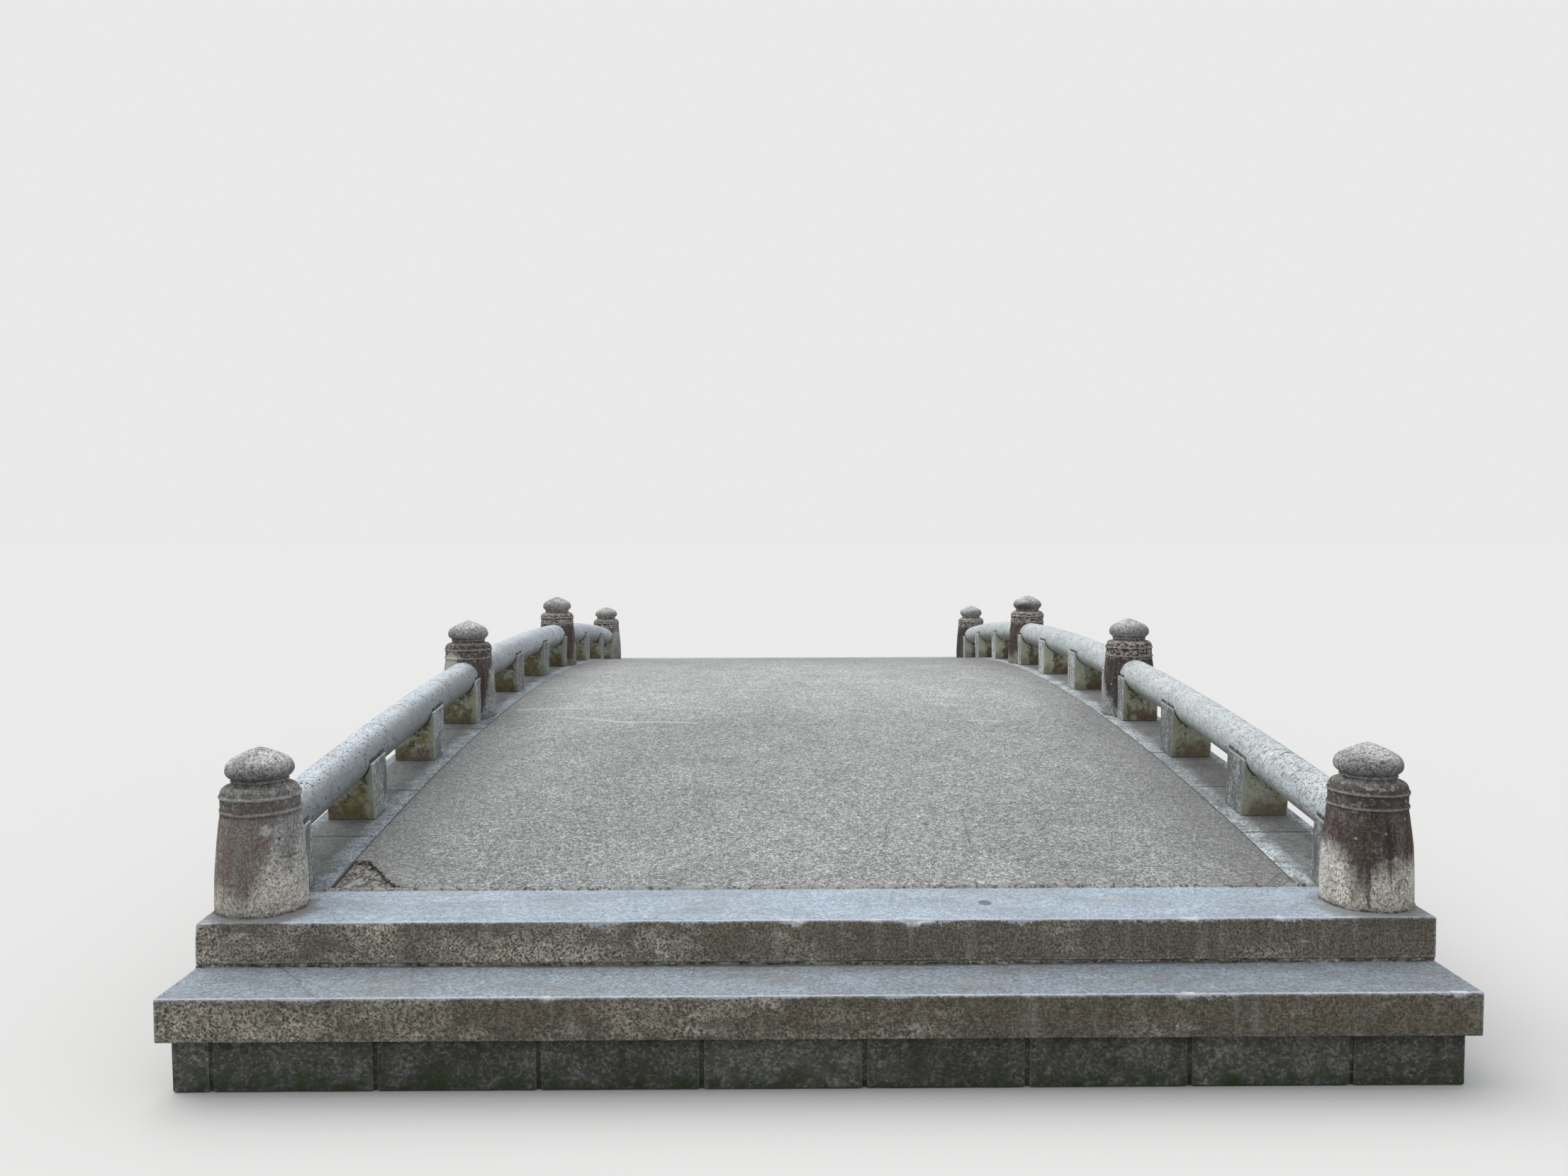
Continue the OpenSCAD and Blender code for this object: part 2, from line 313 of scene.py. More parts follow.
# The arch: takes a place along the bridge and a height over the walking surface to where they are
on_arch, given = new_group("On the arch", "Geometry", dict(flat="Vector"), dict(bent="Vector"))
across, along, over = parts_of(given.flat)
reach, lean = over + arch_radius, along / arch_radius
give_out(bent=vector_of(across, reach * lean, reach * calc("SQRT", 1 - lean * lean) + arch_centre))


def store(geometry, **values):
    """Stores values on the mesh's points under their names."""
    for name, value in values.items():
        data_type = "FLOAT_VECTOR" if is_vector(value) else "FLOAT"
        inputs = {"Geometry": geometry, "Name": name, "Value": value}
        geometry = node("GeometryNodeStoreNamedAttribute", inputs, data_type=data_type, domain="POINT")
    return geometry


def stored(name, kind="FLOAT"):
    """Reads such a value back."""
    return node("GeometryNodeInputNamedAttribute", {"Name": name}, data_type=kind)


def row_of(shape, count):
    """Copies of a shape, made real, that know their number in the row and their own shape's places."""
    points = store(node("GeometryNodePoints", {"Count": count}), number=node("GeometryNodeInputIndex"))
    shape = store(shape, unit=node("GeometryNodeInputPosition"))
    row = node("GeometryNodeInstanceOnPoints", {"Points": points, "Instance": shape})
    return node("GeometryNodeRealizeInstances", {"Geometry": row})


def luck_of(number, seed):
    """A number from 0 to 1 for each stone of a row."""
    return node("FunctionNodeRandomValue", {"ID": number, "Seed": seed}, out=1, data_type="FLOAT")


def end_row(row, position, stone):
    """Moves the row into place, smooths it and gives it its stone."""
    row = node("GeometryNodeSetPosition", {"Geometry": row, "Position": position})
    row = node("GeometryNodeSetShadeSmooth", {"Geometry": row})
    for spent in ("unit", "number"):
        row = node("GeometryNodeRemoveAttribute", {"Geometry": row, "Name": spent})
    give_out(geometry=node("GeometryNodeSetMaterial", {"Geometry": row, "Material": stone}))


# Squared stones: a row of blocks along the bridge, cut off at both ends of the row
squared, given = new_group("Squared stones", "Geometry", dict(
    low=0.0, high=0.0, pitch=100.0, first=-0.5, count=1, joint=0.0, left=0.0, right=0.0, bottom=0.0, top=0.0,
    cuts_across=12, cuts_along=24, cuts_up=6, wear=0.006, knocks=3.0, unevenness=0.0015, bend=1.0, seed=0.0,
    stone="Material"), dict(geometry="Geometry"))
cube = node("GeometryNodeMeshCube", {"Size": (2, 2, 2), "Vertices X": given.cuts_across,
                                     "Vertices Y": given.cuts_along, "Vertices Z": given.cuts_up})
row = row_of(cube, given.count)
number, unit = stored("number"), stored("unit", "FLOAT_VECTOR")
from_place = (given.first + number) * given.pitch
start = calc("MAXIMUM", given.low, from_place) + given.joint * 0.5
stop = calc("MINIMUM", given.high, from_place + given.pitch) - given.joint * 0.5
lowest, highest = vector_of(given.left, start, given.bottom), vector_of(given.right, stop, given.top)
middle = (highest + lowest) * 0.5
position, face, edge = use(worn_block, unit=unit, half=(highest - lowest) * 0.5, wear=given.wear,
                           knocks=given.knocks, unevenness=given.unevenness,
                           centre=middle + vector_of(given.seed, given.seed, 0))
laid = position + middle
row = store(row, wear=edge, stone=luck_of(number, given.seed), rise=parts_of(unit)[2] * 0.5 + 0.5, face=face)
end_row(row, node("ShaderNodeMix", {0: given.bend, 4: laid, 5: use(on_arch, flat=laid)}, out=1,
                  data_type="VECTOR"), given.stone)


def grow(group, name, mesh=None, **inputs):
    """Runs a geometry group, and keeps what it makes as a plain mesh at the origin."""
    holder = new_object(name, mesh or bpy.data.meshes.new(name))
    modifier = holder.modifiers.new("made", "NODES")
    modifier.node_group = group
    sockets = {s.name: s.identifier for s in group.interface.items_tree if s.in_out == "INPUT"}
    for key, value in inputs.items():
        modifier[sockets[spelled(key)]] = value
    plain = bpy.data.meshes.new_from_object(holder.evaluated_get(bpy.context.evaluated_depsgraph_get()))
    bpy.data.objects.remove(holder)
    plain.name = name
    return new_object(name, plain)


def join(name, pieces):
    """One piece made of several that already lie in their places."""
    with bpy.context.temp_override(active_object=pieces[0], selected_editable_objects=pieces):
        bpy.ops.object.join()
    pieces[0].name = name
    return pieces[0]


def set_piece(piece, slot, *nodes):
    """Attaches a finished piece to the bridge, and hides the pieces of the frame that it stands for."""
    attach(piece, "root")
    if nodes:
        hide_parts(*nodes)


def cross_row(end, name, near, far, **inputs):
    """Stones in a row across the bridge, between two distances from its middle, at the near or far end."""
    piece = grow(squared, name, left=near, right=far, bend=0.0, **inputs)
    quarter_turns = 1 if end == "far" else -1
    piece.data.transform(Matrix.Rotation(math.radians(90 * quarter_turns), 4, "Z"))
    faces = piece.data.attributes["face"]
    looks = np.empty(len(faces.data) * 3, np.float32)
    faces.data.foreach_get("vector", looks)
    looks = looks.reshape(-1, 3)
    turned = np.stack((-quarter_turns * looks[:, 1], quarter_turns * looks[:, 0], looks[:, 2]), 1)
    faces.data.foreach_set("vector", turned.ravel())
    return piece


abutment_stone = damp_stone("abutment granite", (0.19, 0.185, 0.17), 0.9)
bedding_mortar = damp_stone("bedding mortar", (0.13, 0.12, 0.10), 0.9)
abutment_half = 2.150
face_y, middle_y, back_y = 4.100, 4.550, 5.000
seat_y, seat_back_y = 4.359, 4.700
ledge_z, seat_z = 0.183, 0.340
course_stone, bed_joint, mortar_inset = 0.54, 0.008, 0.012
courses = [(face_y, middle_y, 0.0, ledge_z, -4.0, 8), (middle_y, back_y, 0.0, ledge_z, -4.73, 9),
           (seat_y, seat_back_y, ledge_z, seat_z, -4.60, 9)]
beds = [(face_y, back_y, 0.0, ledge_z), (seat_y, seat_back_y, ledge_z, seat_z)]

for end, end_seed in (("near", 4.0), ("far", 3.0)):
    masonry = [cross_row(end, "course", front, back, low=-abutment_half, high=abutment_half,
                         pitch=course_stone, first=first, count=count, joint=bed_joint, bottom=low, top=high,
                         cuts_across=9, cuts_along=11, cuts_up=7, wear=0.009, knocks=2.0, unevenness=0.005,
                         seed=3.0 * i + end_seed, stone=abutment_stone)
               for i, (front, back, low, high, first, count) in enumerate(courses)]
    masonry += [cross_row(end, "bed", front + mortar_inset, back - mortar_inset,
                          low=-abutment_half + mortar_inset, high=abutment_half - mortar_inset, bottom=low,
                          top=high - mortar_inset / 2, cuts_across=8, cuts_along=30, cuts_up=4, wear=0.004,
                          unevenness=0.006, stone=bedding_mortar)
                for front, back, low, high in beds]
    set_piece(join(f"masonry_{end}", masonry), "abutment_stone", f"abutment_{end}")

# Pier columns
# Four round columns of pick-dressed granite stand in the water under each cap beam. They are left a
# little rough, and are green up to the line that the water reaches.

rough_columns, given = new_group("Rough columns", "Geometry", dict(
    pier=0.0, spacing=1.3, count=4, radius=0.15, height=0.25, unevenness=0.006, stone="Material"),
    dict(geometry="Geometry"))
drum = node("GeometryNodeMeshCylinder", {"Vertices": 60, "Side Segments": 20, "Fill Segments": 3, "Radius": 1,
                                         "Depth": 2}, fill_type="TRIANGLE_FAN")
row = row_of(drum, given.count)
number, unit = stored("number"), stored("unit", "FLOAT_VECTOR")
round_x, round_y, along = parts_of(unit)
axis_x = (number - (given.count * 0.5 - 0.5)) * given.spacing
picked = cloud(unit + vector_of(axis_x, given.pier, 0), 6, 5, 0.7) * given.unevenness
ring = given.radius - picked
stood = vector_of(round_x * ring + axis_x, round_y * ring + given.pier, (along * 0.5 + 0.5) * given.height)
row = store(row, wear=0.0, stone=luck_of(number, 5), rise=along)
end_row(row, stood, given.stone)

pier_y = 1.515
beam_z, beam_top = (corner.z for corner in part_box("cap_beam_near"))
column_stone = damp_stone("column granite", (0.24, 0.23, 0.21), 1.0)
for end, pier in (("near", -pier_y), ("far", pier_y)):
    columns = grow(rough_columns, f"columns_{end}", pier=pier, height=beam_z, stone=column_stone)
    set_piece(columns, "structure_stone", f"pier_columns_{end}")

# Cap beams
# One long stone lies across the columns of each pier. Its top is dressed to the curve of the girders.

beam_stone = damp_stone("beam granite", (0.30, 0.29, 0.27), 0.3)
beam_half, beam_width, girder_under = 2.180, 0.320, 0.330


def surface_at(y):
    """Height of the walking surface at a distance along the bridge."""
    return arch_centre + math.sqrt(arch_radius ** 2 - y * y)


for end in ("near", "far"):
    beam = cross_row(end, f"beam_{end}", pier_y - beam_width / 2, pier_y + beam_width / 2, low=-beam_half,
                     high=beam_half, bottom=beam_z, top=beam_top, cuts_across=12, cuts_along=90, cuts_up=8,
                     wear=0.008, unevenness=0.004, stone=beam_stone)
    for v in beam.data.vertices:
        under_girder = surface_at(v.co.y) - girder_under
        v.co.z = beam_z + (v.co.z - beam_z) * (under_girder - beam_z) / (beam_top - beam_z)
    set_piece(beam, "structure_stone", f"cap_beam_{end}")

# Girders
# Four arched girders span each bay: a wide one under each kerb, and two between. They are long stones
# dressed to the curve, with an open joint over each pier.

girder_stone = damp_stone("girder granite", (0.33, 0.32, 0.30), 0.0)
deck_end, half_joint = 4.359, 0.0025
slab_under = 0.120
girder_sides = [(-2.140, -1.800), (-0.800, -0.500), (0.500, 0.800), (1.800, 2.140)]
spans = {"near": (-deck_end, -pier_y), "middle": (-pier_y, pier_y), "far": (pier_y, deck_end)}
for span, (start, stop) in spans.items():
    beams = [grow(squared, "girder", low=start + half_joint, high=stop - half_joint, left=left, right=right,
                  bottom=-girder_under, top=-slab_under, cuts_across=8, cuts_along=72, cuts_up=8, wear=0.009,
                  unevenness=0.004, seed=left, stone=girder_stone) for left, right in girder_sides]
    set_piece(join(f"arched_girders_{span}", beams), "structure_stone", f"girders_{span}")

# Deck slabs
# Flat slabs lie across the girders from kerb to kerb, one beside each kerb stone, under the paving.

stone_length, joint = 0.635, 0.005
kerb_inner, paving_depth = 1.849, 0.040
for third, (first, count) in {"near": (-7.0, 5), "middle": (-2.0, 4), "far": (2.0, 5)}.items():
    slabs = grow(squared, f"slabs_{third}", low=-deck_end, high=deck_end, pitch=stone_length, first=first,
                 count=count, joint=joint, left=-kerb_inner, right=kerb_inner, bottom=-slab_under,
                 top=-paving_depth, cuts_across=44, cuts_along=12, cuts_up=5, wear=0.004, knocks=2.0,
                 unevenness=0.004, stone=girder_stone)
    set_piece(slabs, "structure_stone", f"deck_slabs_{third}")

# Kerbs
# A row of dressed blue-grey granite stones edges the deck on each side and carries the newels and the
# blocks. Dirt gathers on it along the blocks, and moss in its joints.


def facing():
    """Which way the stone's face looks: across, along and up."""
    return parts_of(node("ShaderNodeAttribute", out="Vector", attribute_name="face"))


kerb_stone = new_stone("kerb granite")
colour, grains = use(granite, grain=0.006, body=(0.375, 0.41, 0.42), dark_grain=(0.14, 0.145, 0.155),
                     pale_grain=(0.58, 0.61, 0.63), speckle=0.70, mottle=0.20, clouding=1.2)
place = on_object()
x, y = parts_of(place)[:2]
left_tone = between(y, -1.9, -1.0, 0.98, 1.22) * (0.98, 1.02, 1.05)
right_tone = between(y, -3.9, -3.3, 1.52, 0.98) + between(y, -2.9, -2.3, 0, 0.34)
colour = colour * lay_over(left_tone, between(x, -0.5, 0.5), right_tone)
from_middle = abs(x) + cloud(place, 9, 5, 0.65) * 0.10 - 0.05
by_blocks = between(from_middle, 1.89, 1.96) * between(from_middle, 2.150, 2.125)
colour = lay_over(colour, by_blocks * 0.75, (0.175, 0.165, 0.145))
colour = lay_over(colour, between(cloud(place, 13, 6, 0.7), 0.50, 0.62) * 0.55, (0.13, 0.13, 0.125))
colour = lay_over(colour, between(cloud(place, 90, 4, 0.75), 0.56, 0.62) * 0.7, (0.09, 0.095, 0.105))
ahead, up = facing()[1:]
mossy = abs(ahead) * mark("wear") * between(cloud(place, 11, 3), 0.45, 0.6)
colour = lay_over(colour, mossy * 0.8, (0.11, 0.12, 0.05))
colour = lay_over(colour, between(up, 0.5, 0.1) * 0.75, (0.12, 0.115, 0.10))
finish_stone(colour * (mark("stone") * 0.22 + 0.89), grains, 0.0025, 0.8)

edge_x = 2.180
for side, left, right in (("left", -edge_x, -kerb_inner), ("right", kerb_inner, edge_x)):
    kerb = grow(squared, f"kerb_row_{side}", low=-deck_end, high=deck_end, pitch=stone_length, first=-7.0,
                count=14, joint=joint, left=left, right=right, bottom=-slab_under, top=0.0, cuts_across=16,
                cuts_along=30, cuts_up=8, wear=0.0045, knocks=2.5, unevenness=0.002, seed=left,
                stone=kerb_stone)
    set_piece(kerb, "kerb_stone", f"kerb_{side}")

# Paving
# The deck is finished with one layer of fine aggregate laid between the kerbs, its stones washed bare.
# It is worn and patchy, has hairline cracks, and a corner has broken out of it at the near left newel.

# A thin line between two points, which wanders
line_mark, given = new_group("Line mark", "Shader", dict(
    start="Vector", stop="Vector", width=0.004, wander=0.03), dict(mask="Float"))
place = on_object()
shaken = node("ShaderNodeTexNoise", {"Vector": place, "Scale": 8, "Detail": 5, "Roughness": 0.6}, out="Color")
place = (place + (shaken - (0.5, 0.5, 0.5)) * given.wander) * (1, 1, 0)
reach, whole = place - given.start, given.stop - given.start
share = node("ShaderNodeClamp", {0: calc("DOT_PRODUCT", reach, whole) / calc("DOT_PRODUCT", whole, whole)})
off = calc("LENGTH", reach - whole * share)
give_out(mask=between(off, given.width, given.width * 0.4))


def with_lines(colour, lines, over, strength):
    """Draws lines on a flat stone, each from x, y to x, y with its width and how far it wanders."""
    for start, stop, width, wander in lines:
        drawn = use(line_mark, start=(*start, 0), stop=(*stop, 0), width=width, wander=wander)
        colour = lay_over(colour, drawn * strength, over)
    return colour


paving_stone = new_stone("washed aggregate")
colour, grains = use(granite, grain=0.0058, body=(0.325, 0.332, 0.324), dark_grain=(0.16, 0.155, 0.145),
                     pale_grain=(0.62, 0.61, 0.58), speckle=0.85, mottle=0.25, clouding=0.35)
place = on_object()
x, y = parts_of(place)[:2]
patches = between(cloud(place, 0.9, 6, 0.62), 0.35, 0.65, 0.90, 1.08)
# Painted sheen: the deck is brighter towards its middle, as where light glances off it, and a little darker
# towards the right
painted_sheen = between(abs(y), 3.4, 1.9, 0.96, 1.06) + between(abs(y), 1.9, 0.4, 0, 0.30)
painted_sheen = painted_sheen + between(x, -0.2, 1.6, 0, -0.06)
blotches = between(cloud(place, 38, 3, 0.7), 0.36, 0.64, 0.86, 1.14)
from_kerb = kerb_inner - abs(x)
dusty = between(from_kerb + cloud(place, 4, 4, 0.6) * 0.3 - 0.15, 0.50, 0)
colour = lay_over(colour * (patches * painted_sheen * blotches), dusty * 0.5, (0.185, 0.185, 0.175))
colour = lay_over(colour, between(from_kerb, 0.012, 0.003) * 0.7, (0.09, 0.09, 0.05))
pale_lines = [((-1.76, -1.31), (-1.22, -1.25), 0.026, 0.08), ((-1.22, -1.25), (-0.55, -1.30), 0.014, 0.06),
              ((-1.47, -1.54), (-1.10, -1.705), 0.024, 0.08), ((-1.10, -1.705), (-0.62, -1.76), 0.030, 0.08),
              ((0.92, -1.20), (1.08, -1.21), 0.024, 0.05), ((1.02, -1.72), (1.20, -1.74), 0.024, 0.05),
              ((0.74, -2.60), (0.78, -2.60), 0.016, 0.02)]
cracks = [((0.30, -3.95), (0.36, -3.62), 0.004, 0.05), ((0.66, -3.97), (0.70, -3.50), 0.004, 0.06),
          ((0.70, -4.05), (0.98, -3.80), 0.004, 0.06), ((0.98, -3.80), (1.06, -3.64), 0.004, 0.05),
          ((1.24, -3.96), (1.32, -3.72), 0.004, 0.05), ((1.83, -4.25), (1.71, -4.39), 0.006, 0.02),
          ((0.80, -3.42), (1.42, -3.41), 0.006, 0.01)]
colour = with_lines(colour, pale_lines, (0.62, 0.63, 0.62), 0.6)
finish_stone(with_lines(colour, cracks, (0.13, 0.125, 0.115), 0.6), grains, 0.003, 0.85)


def rubble_stone(name, mortar, body=(0.20, 0.18, 0.15)):
    """Brown dirty rubble, with a share of whitish mortar."""
    stone = new_stone(name)
    colour, grains = use(granite, grain=0.009, body=body, dark_grain=(0.08, 0.07, 0.055),
                         pale_grain=(0.42, 0.40, 0.36), speckle=0.8, clouding=1.2)
    least_mortar = 0.62 - 0.12 * mortar
    left_over = between(cloud(on_object(), 17, 5, 0.6), least_mortar, least_mortar + 0.06)
    finish_stone(lay_over(colour, left_over * mortar, (0.44, 0.44, 0.42)), grains, 0.004, 0.95)
    return stone


def new_mesh(name, verts, faces, stone):
    """A smooth mesh of one stone."""
    mesh = bpy.data.meshes.new(name)
    mesh.from_pydata(verts, [], faces)
    mesh.shade_smooth()
    mesh.materials.append(stone)
    return mesh


paving = grow(squared, "paving_layer", low=-deck_end + half_joint, high=deck_end - half_joint,
              left=-kerb_inner, right=kerb_inner, bottom=-paving_depth, top=0.0, cuts_across=80,
              cuts_along=170, cuts_up=5, wear=0.003, knocks=1.0, unevenness=0.003, stone=paving_stone)

# The broken corner's outline, seen from above, is roughened between its points and cut out of the layer
corner_x, corner_y = -kerb_inner, -deck_end
outline = [(-0.02, -0.02), (-0.02, 0.249), (0.014, 0.274), (0.064, 0.269), (0.109, 0.208), (0.169, 0.123),
           (0.227, 0.044), (0.274, 0.014), (0.349, 0.002), (0.36, -0.02)]
points_between, ragged_by, shaken_by = 8, 0.005, 0.006
shaker = random.Random(4)
ragged_outline = []
for (x0, y0), (x1, y1) in zip(outline, outline[1:] + outline[:1]):
    steps = points_between if x0 >= 0 or x1 >= 0 else 1
    for k in range(steps):
        wobble = ragged_by if 0 < k and x0 > 0 and y1 > 0 else 0.0
        ragged_outline.append((x0 + (x1 - x0) * k / steps + shaker.uniform(-wobble, wobble),
                               y0 + (y1 - y0) * k / steps + shaker.uniform(-wobble, wobble)))
count = len(ragged_outline)

# The noise that shakes the break's wall has a fixed seed, because without one it starts from the clock
noise.seed_set(4)
levels = [-0.06, -0.034, -0.026, -0.018, -0.010, -0.004, 0.03]
verts = []
for level in levels:
    for x, y in ragged_outline:
        shake = shaken_by if level in levels[1:-1] and x > 0 and y > 0 else 0.0
        push = noise.noise_vector(Vector((x * 45, y * 45, level * 120))) * shake
        x, y = corner_x + x + push.x, corner_y + y + push.y
        verts.append((x, y, surface_at(y) + level))
faces = [tuple(range(count)), tuple(range(len(levels) * count - 1, (len(levels) - 1) * count - 1, -1))]
for low in range(0, (len(levels) - 1) * count, count):
    faces += [(low + k, low + count + k, low + count + (k + 1) % count, low + (k + 1) % count)
              for k in range(count)]
break_mesh = new_mesh("break", verts, faces, rubble_stone("broken edge", 0.0))
break_mesh.shade_flat()
cutter = new_object("break", break_mesh)
cut = paving.modifiers.new("break", "BOOLEAN")
cut.object, cut.operation, cut.solver, cut.material_mode = cutter, "DIFFERENCE", "EXACT", "TRANSFER"
broken = bpy.data.meshes.new_from_object(paving.evaluated_get(bpy.context.evaluated_depsgraph_get()))
paving.modifiers.remove(cut)
paving.data = broken
bpy.data.objects.remove(cutter)
set_piece(paving, "paving", "paving_near", "paving_middle", "paving_far")

# Rubble bed: what is left in the broken corner is mortar and dirt, trodden a little below the surface
bed_rings, bed_depth, bed_floor = 22, 0.019, 0.0395
inside_x, inside_y = 0.115, 0.085
verts, faces = [], []
rim = [(min(max(x, 0.001), 0.354), max(y, 0.003)) for x, y in ragged_outline]
rim = [point for point, after in zip(rim, rim[1:] + rim[:1]) if math.dist(point, after) > 0.0002]
count = len(rim)
for ring in range(bed_rings + 1):
    share = 1 - ring / bed_rings
    for x, y in rim if share else [(inside_x, inside_y)]:
        x, y = inside_x + (x - inside_x) * share, inside_y + (y - inside_y) * share
        here = Vector((x, y, 0.0))
        rough = noise.fractal(here * 38, 0.7, 2.0, 5) * 0.006 + max(0.0, noise.noise(here * 17)) * 0.010
        depth = min(bed_depth - min(rough, 0.014), 0.036)
        verts.append((corner_x + x, corner_y + y, surface_at(corner_y + y) - depth))
for low in range(0, (bed_rings - 1) * count, count):
    faces += [(low + k, low + count + k, low + count + (k + 1) % count, low + (k + 1) % count)
              for k in range(count)]
innermost, under = (bed_rings - 1) * count, len(verts)
faces += [(innermost + k, under - 1, innermost + (k + 1) % count) for k in range(count)]
verts += [(corner_x + x, corner_y + y, surface_at(corner_y + y) - bed_floor) for x, y in rim]
faces += [(k, (k + 1) % count, under + (k + 1) % count, under + k) for k in range(count)]
faces.append(tuple(range(under, under + count)))
bed_stone = rubble_stone("rubble and mortar", 0.9)
rubble_bed = new_object("rubble_bed", new_mesh("rubble_bed", verts, faces, bed_stone))
set_piece(rubble_bed, "paving")

# Crumbs: grit and bits of mortar that lie loose in the broken corner
crumbs, given = new_group("Crumbs", "Geometry", dict(
    bed="Geometry", density=3000.0, smallest=0.0012, largest=0.0050, stone="Material"),
    dict(geometry="Geometry"))
looks_up = parts_of(node("GeometryNodeInputNormal"))[2] > 0.3
strewn = node("GeometryNodeDistributePointsOnFaces", {"Mesh": given.bed, "Selection": looks_up,
                                                      "Density": given.density, "Seed": 5})
bit = node("GeometryNodeMeshIcoSphere", {"Radius": 1, "Subdivisions": 1})
luck = node("FunctionNodeRandomValue", {"Seed": 2}, out=1, data_type="FLOAT")
size = calc("POWER", luck, 2.5) * (given.largest - given.smallest) + given.smallest
turn = node("FunctionNodeRandomValue", {0: (0, 0, 0), 1: (6, 6, 6), "Seed": 3}, data_type="FLOAT_VECTOR")
bits = node("GeometryNodeInstanceOnPoints", {
    "Points": strewn, "Instance": bit, "Rotation": node("FunctionNodeEulerToRotation", {0: turn}),
    "Scale": size * (1, 0.8, 0.6)})
bits = node("GeometryNodeRealizeInstances", {0: bits})
chips = node("ShaderNodeTexNoise", {"Vector": node("GeometryNodeInputPosition"), "Scale": 300}, out="Color")
bits = node("GeometryNodeSetPosition", {"Geometry": bits, "Offset": (chips - (0.5, 0.5, 0.5)) * 0.003})
give_out(geometry=node("GeometryNodeSetMaterial", {0: bits, "Material": given.stone}))
grit = grow(crumbs, "loose_crumbs", mesh=rubble_bed.data.copy(), stone=rubble_stone("grit", 0.9))
set_piece(grit, "paving")

# Sills and steps
# A long granite stone lies across each end of the deck with a second one in front of it as a step. Their
# tops are walked clean and pale, and their fronts are rough, brown and chipped along the arris.

# A ragged spot of a given half size
spot, given = new_group("Spot", "Shader", dict(
    centre="Vector", size="Vector", ragged=0.5, soft=0.3, detail=20.0), dict(mask="Float"))
place = on_object()
torn = (cloud(place, given.detail, 4, 0.6) - 0.5) * given.ragged
out = calc("LENGTH", (place - given.centre) / given.size) + torn
give_out(mask=between(out, 1, 1 - given.soft))


def choose(switch, off, on):
    """One number where the switch is 0, and the other where it is 1."""
    return node("ShaderNodeMix", {0: switch, 2: off, 3: on})


def tinted(colour, *tones):
    """A colour made lighter or darker, or tinted by three tones."""
    return tuple(a * b for a, b in zip(colour, tones * 3 if len(tones) == 1 else tones))


def long_stone(name, body, dirt, right_tone, spots, lines):
    """Long granite stone with a clean top, a rough brown front and a bright arris."""
    stone = new_stone(name)
    top, top_grains = use(granite, grain=0.0045, body=body, dark_grain=tinted(body, 0.70),
                          pale_grain=tinted(body, 1.2), speckle=0.5, mottle=0.15 + 0.3 * dirt, clouding=0.35)
    riser, front_grains = use(granite, grain=0.0065, body=(0.74, 0.66, 0.53), dark_grain=(0.22, 0.19, 0.15),
                              pale_grain=(0.88, 0.82, 0.70), speckle=0.9, mottle=0.22, clouding=0.9)
    place, rise, up = on_object(), mark("rise"), facing()[2]
    x = parts_of(place)[0]
    wavy = cloud(place, 6, 3, 0.6) * 0.70 + cloud(place, 75, 3, 0.7) * 0.55 - 0.625
    lip = between(rise + wavy, 0.86, 0.90) * (up > -0.3)
    is_top = calc("MAXIMUM", between(up, 0.45, 0.80), lip)
    pits = between(cloud(place, 110, 4, 0.8), 0.52, 0.58)
    riser = lay_over(riser, pits * 0.6, (0.12, 0.105, 0.08))
    to_right = between(cloud(place, 1.3, 4) * 1.6 + x, -1.6, 2.4)
    brown = cloud(place * (0.5, 1, 1), 5, 5, 0.7) + to_right * 0.22
    riser = lay_over(riser, between(brown, 0.44, 0.70, 0, 0.82), (0.205, 0.175, 0.13))
    washed = between(cloud(place * (1, 1, 0.15), 16, 5, 0.65), 0.50, 0.68)
    riser = lay_over(riser, washed * 0.35, (0.60, 0.56, 0.48))
    low_edge = between(cloud(place, 20, 4) * 0.4 + rise, 0.26, 0.14)
    riser = lay_over(riser, low_edge * 0.6, (0.14, 0.12, 0.085))
    streaked = between(cloud(place * (1, 3, 1), 3, 6, 0.65), 0.40, 0.68)
    grainy = between(cloud(place, 115, 2, 0.7), 0.34, 0.66, 0.84, 1.16)
    tread = lay_over(top * grainy, streaked * dirt, (0.25, 0.24, 0.22))
    tread = lay_over(tread, pits * (dirt * 0.6), (0.15, 0.145, 0.135))
    colour = lay_over(riser, is_top, tread * between(x, -0.4, 1.2, 1, right_tone))
    # Painted highlight: the rounded lip is painted pale where it turns down the front
    colour = lay_over(colour, lip * between(up, 0.7, 0.3) * 0.75, (0.70, 0.74, 0.76))
    worn = use(worn_arris, reach=0.58) * between(up, -0.5, 0)
    colour = lay_over(colour, worn * 0.9, (0.74, 0.77, 0.78))
    for centre, size, tone, strength in spots:
        colour = lay_over(colour, use(spot, centre=centre, size=size, ragged=0.9) * strength, tone)
    colour = with_lines(colour, lines, (0.16, 0.15, 0.14), 0.6)
    bumps = choose(is_top, pits * -0.7 + front_grains, top_grains * 0.3)
    finish_stone(colour, bumps, 0.006, between(is_top, 0, 1, 0.9, 0.62))
    return stone


def knock_off(piece, front, top, places):
    """Rubs the front arris of a stone at the near end, and breaks chips off it, each at x, with a width
    and a depth."""
    rubbed_off, bare_from = 0.010, 0.009
    faces, wear = piece.data.attributes["face"].data, piece.data.attributes["wear"].data
    for v in piece.data.vertices:
        back, down = v.co.y - front, top - v.co.z
        cut_to = rubbed_off * max(0.0, noise.noise(Vector((v.co.x * 5, top * 30, 0.0))) + 0.15)
        for x, width, depth in places:
            cut_to = max(cut_to, depth * math.exp(-((v.co.x - x) / width) ** 2))
        cut_to *= 0.7 + 0.9 * abs(noise.noise(v.co * 55))
        push = (cut_to - back - down) / 2
        if push > 0:
            v.co.y += push
            v.co.z -= push
        if cut_to > bare_from and push > -0.003:
            faces[v.index].vector = (0.0, -0.92, 0.40)
            wear[v.index].value = 1.0


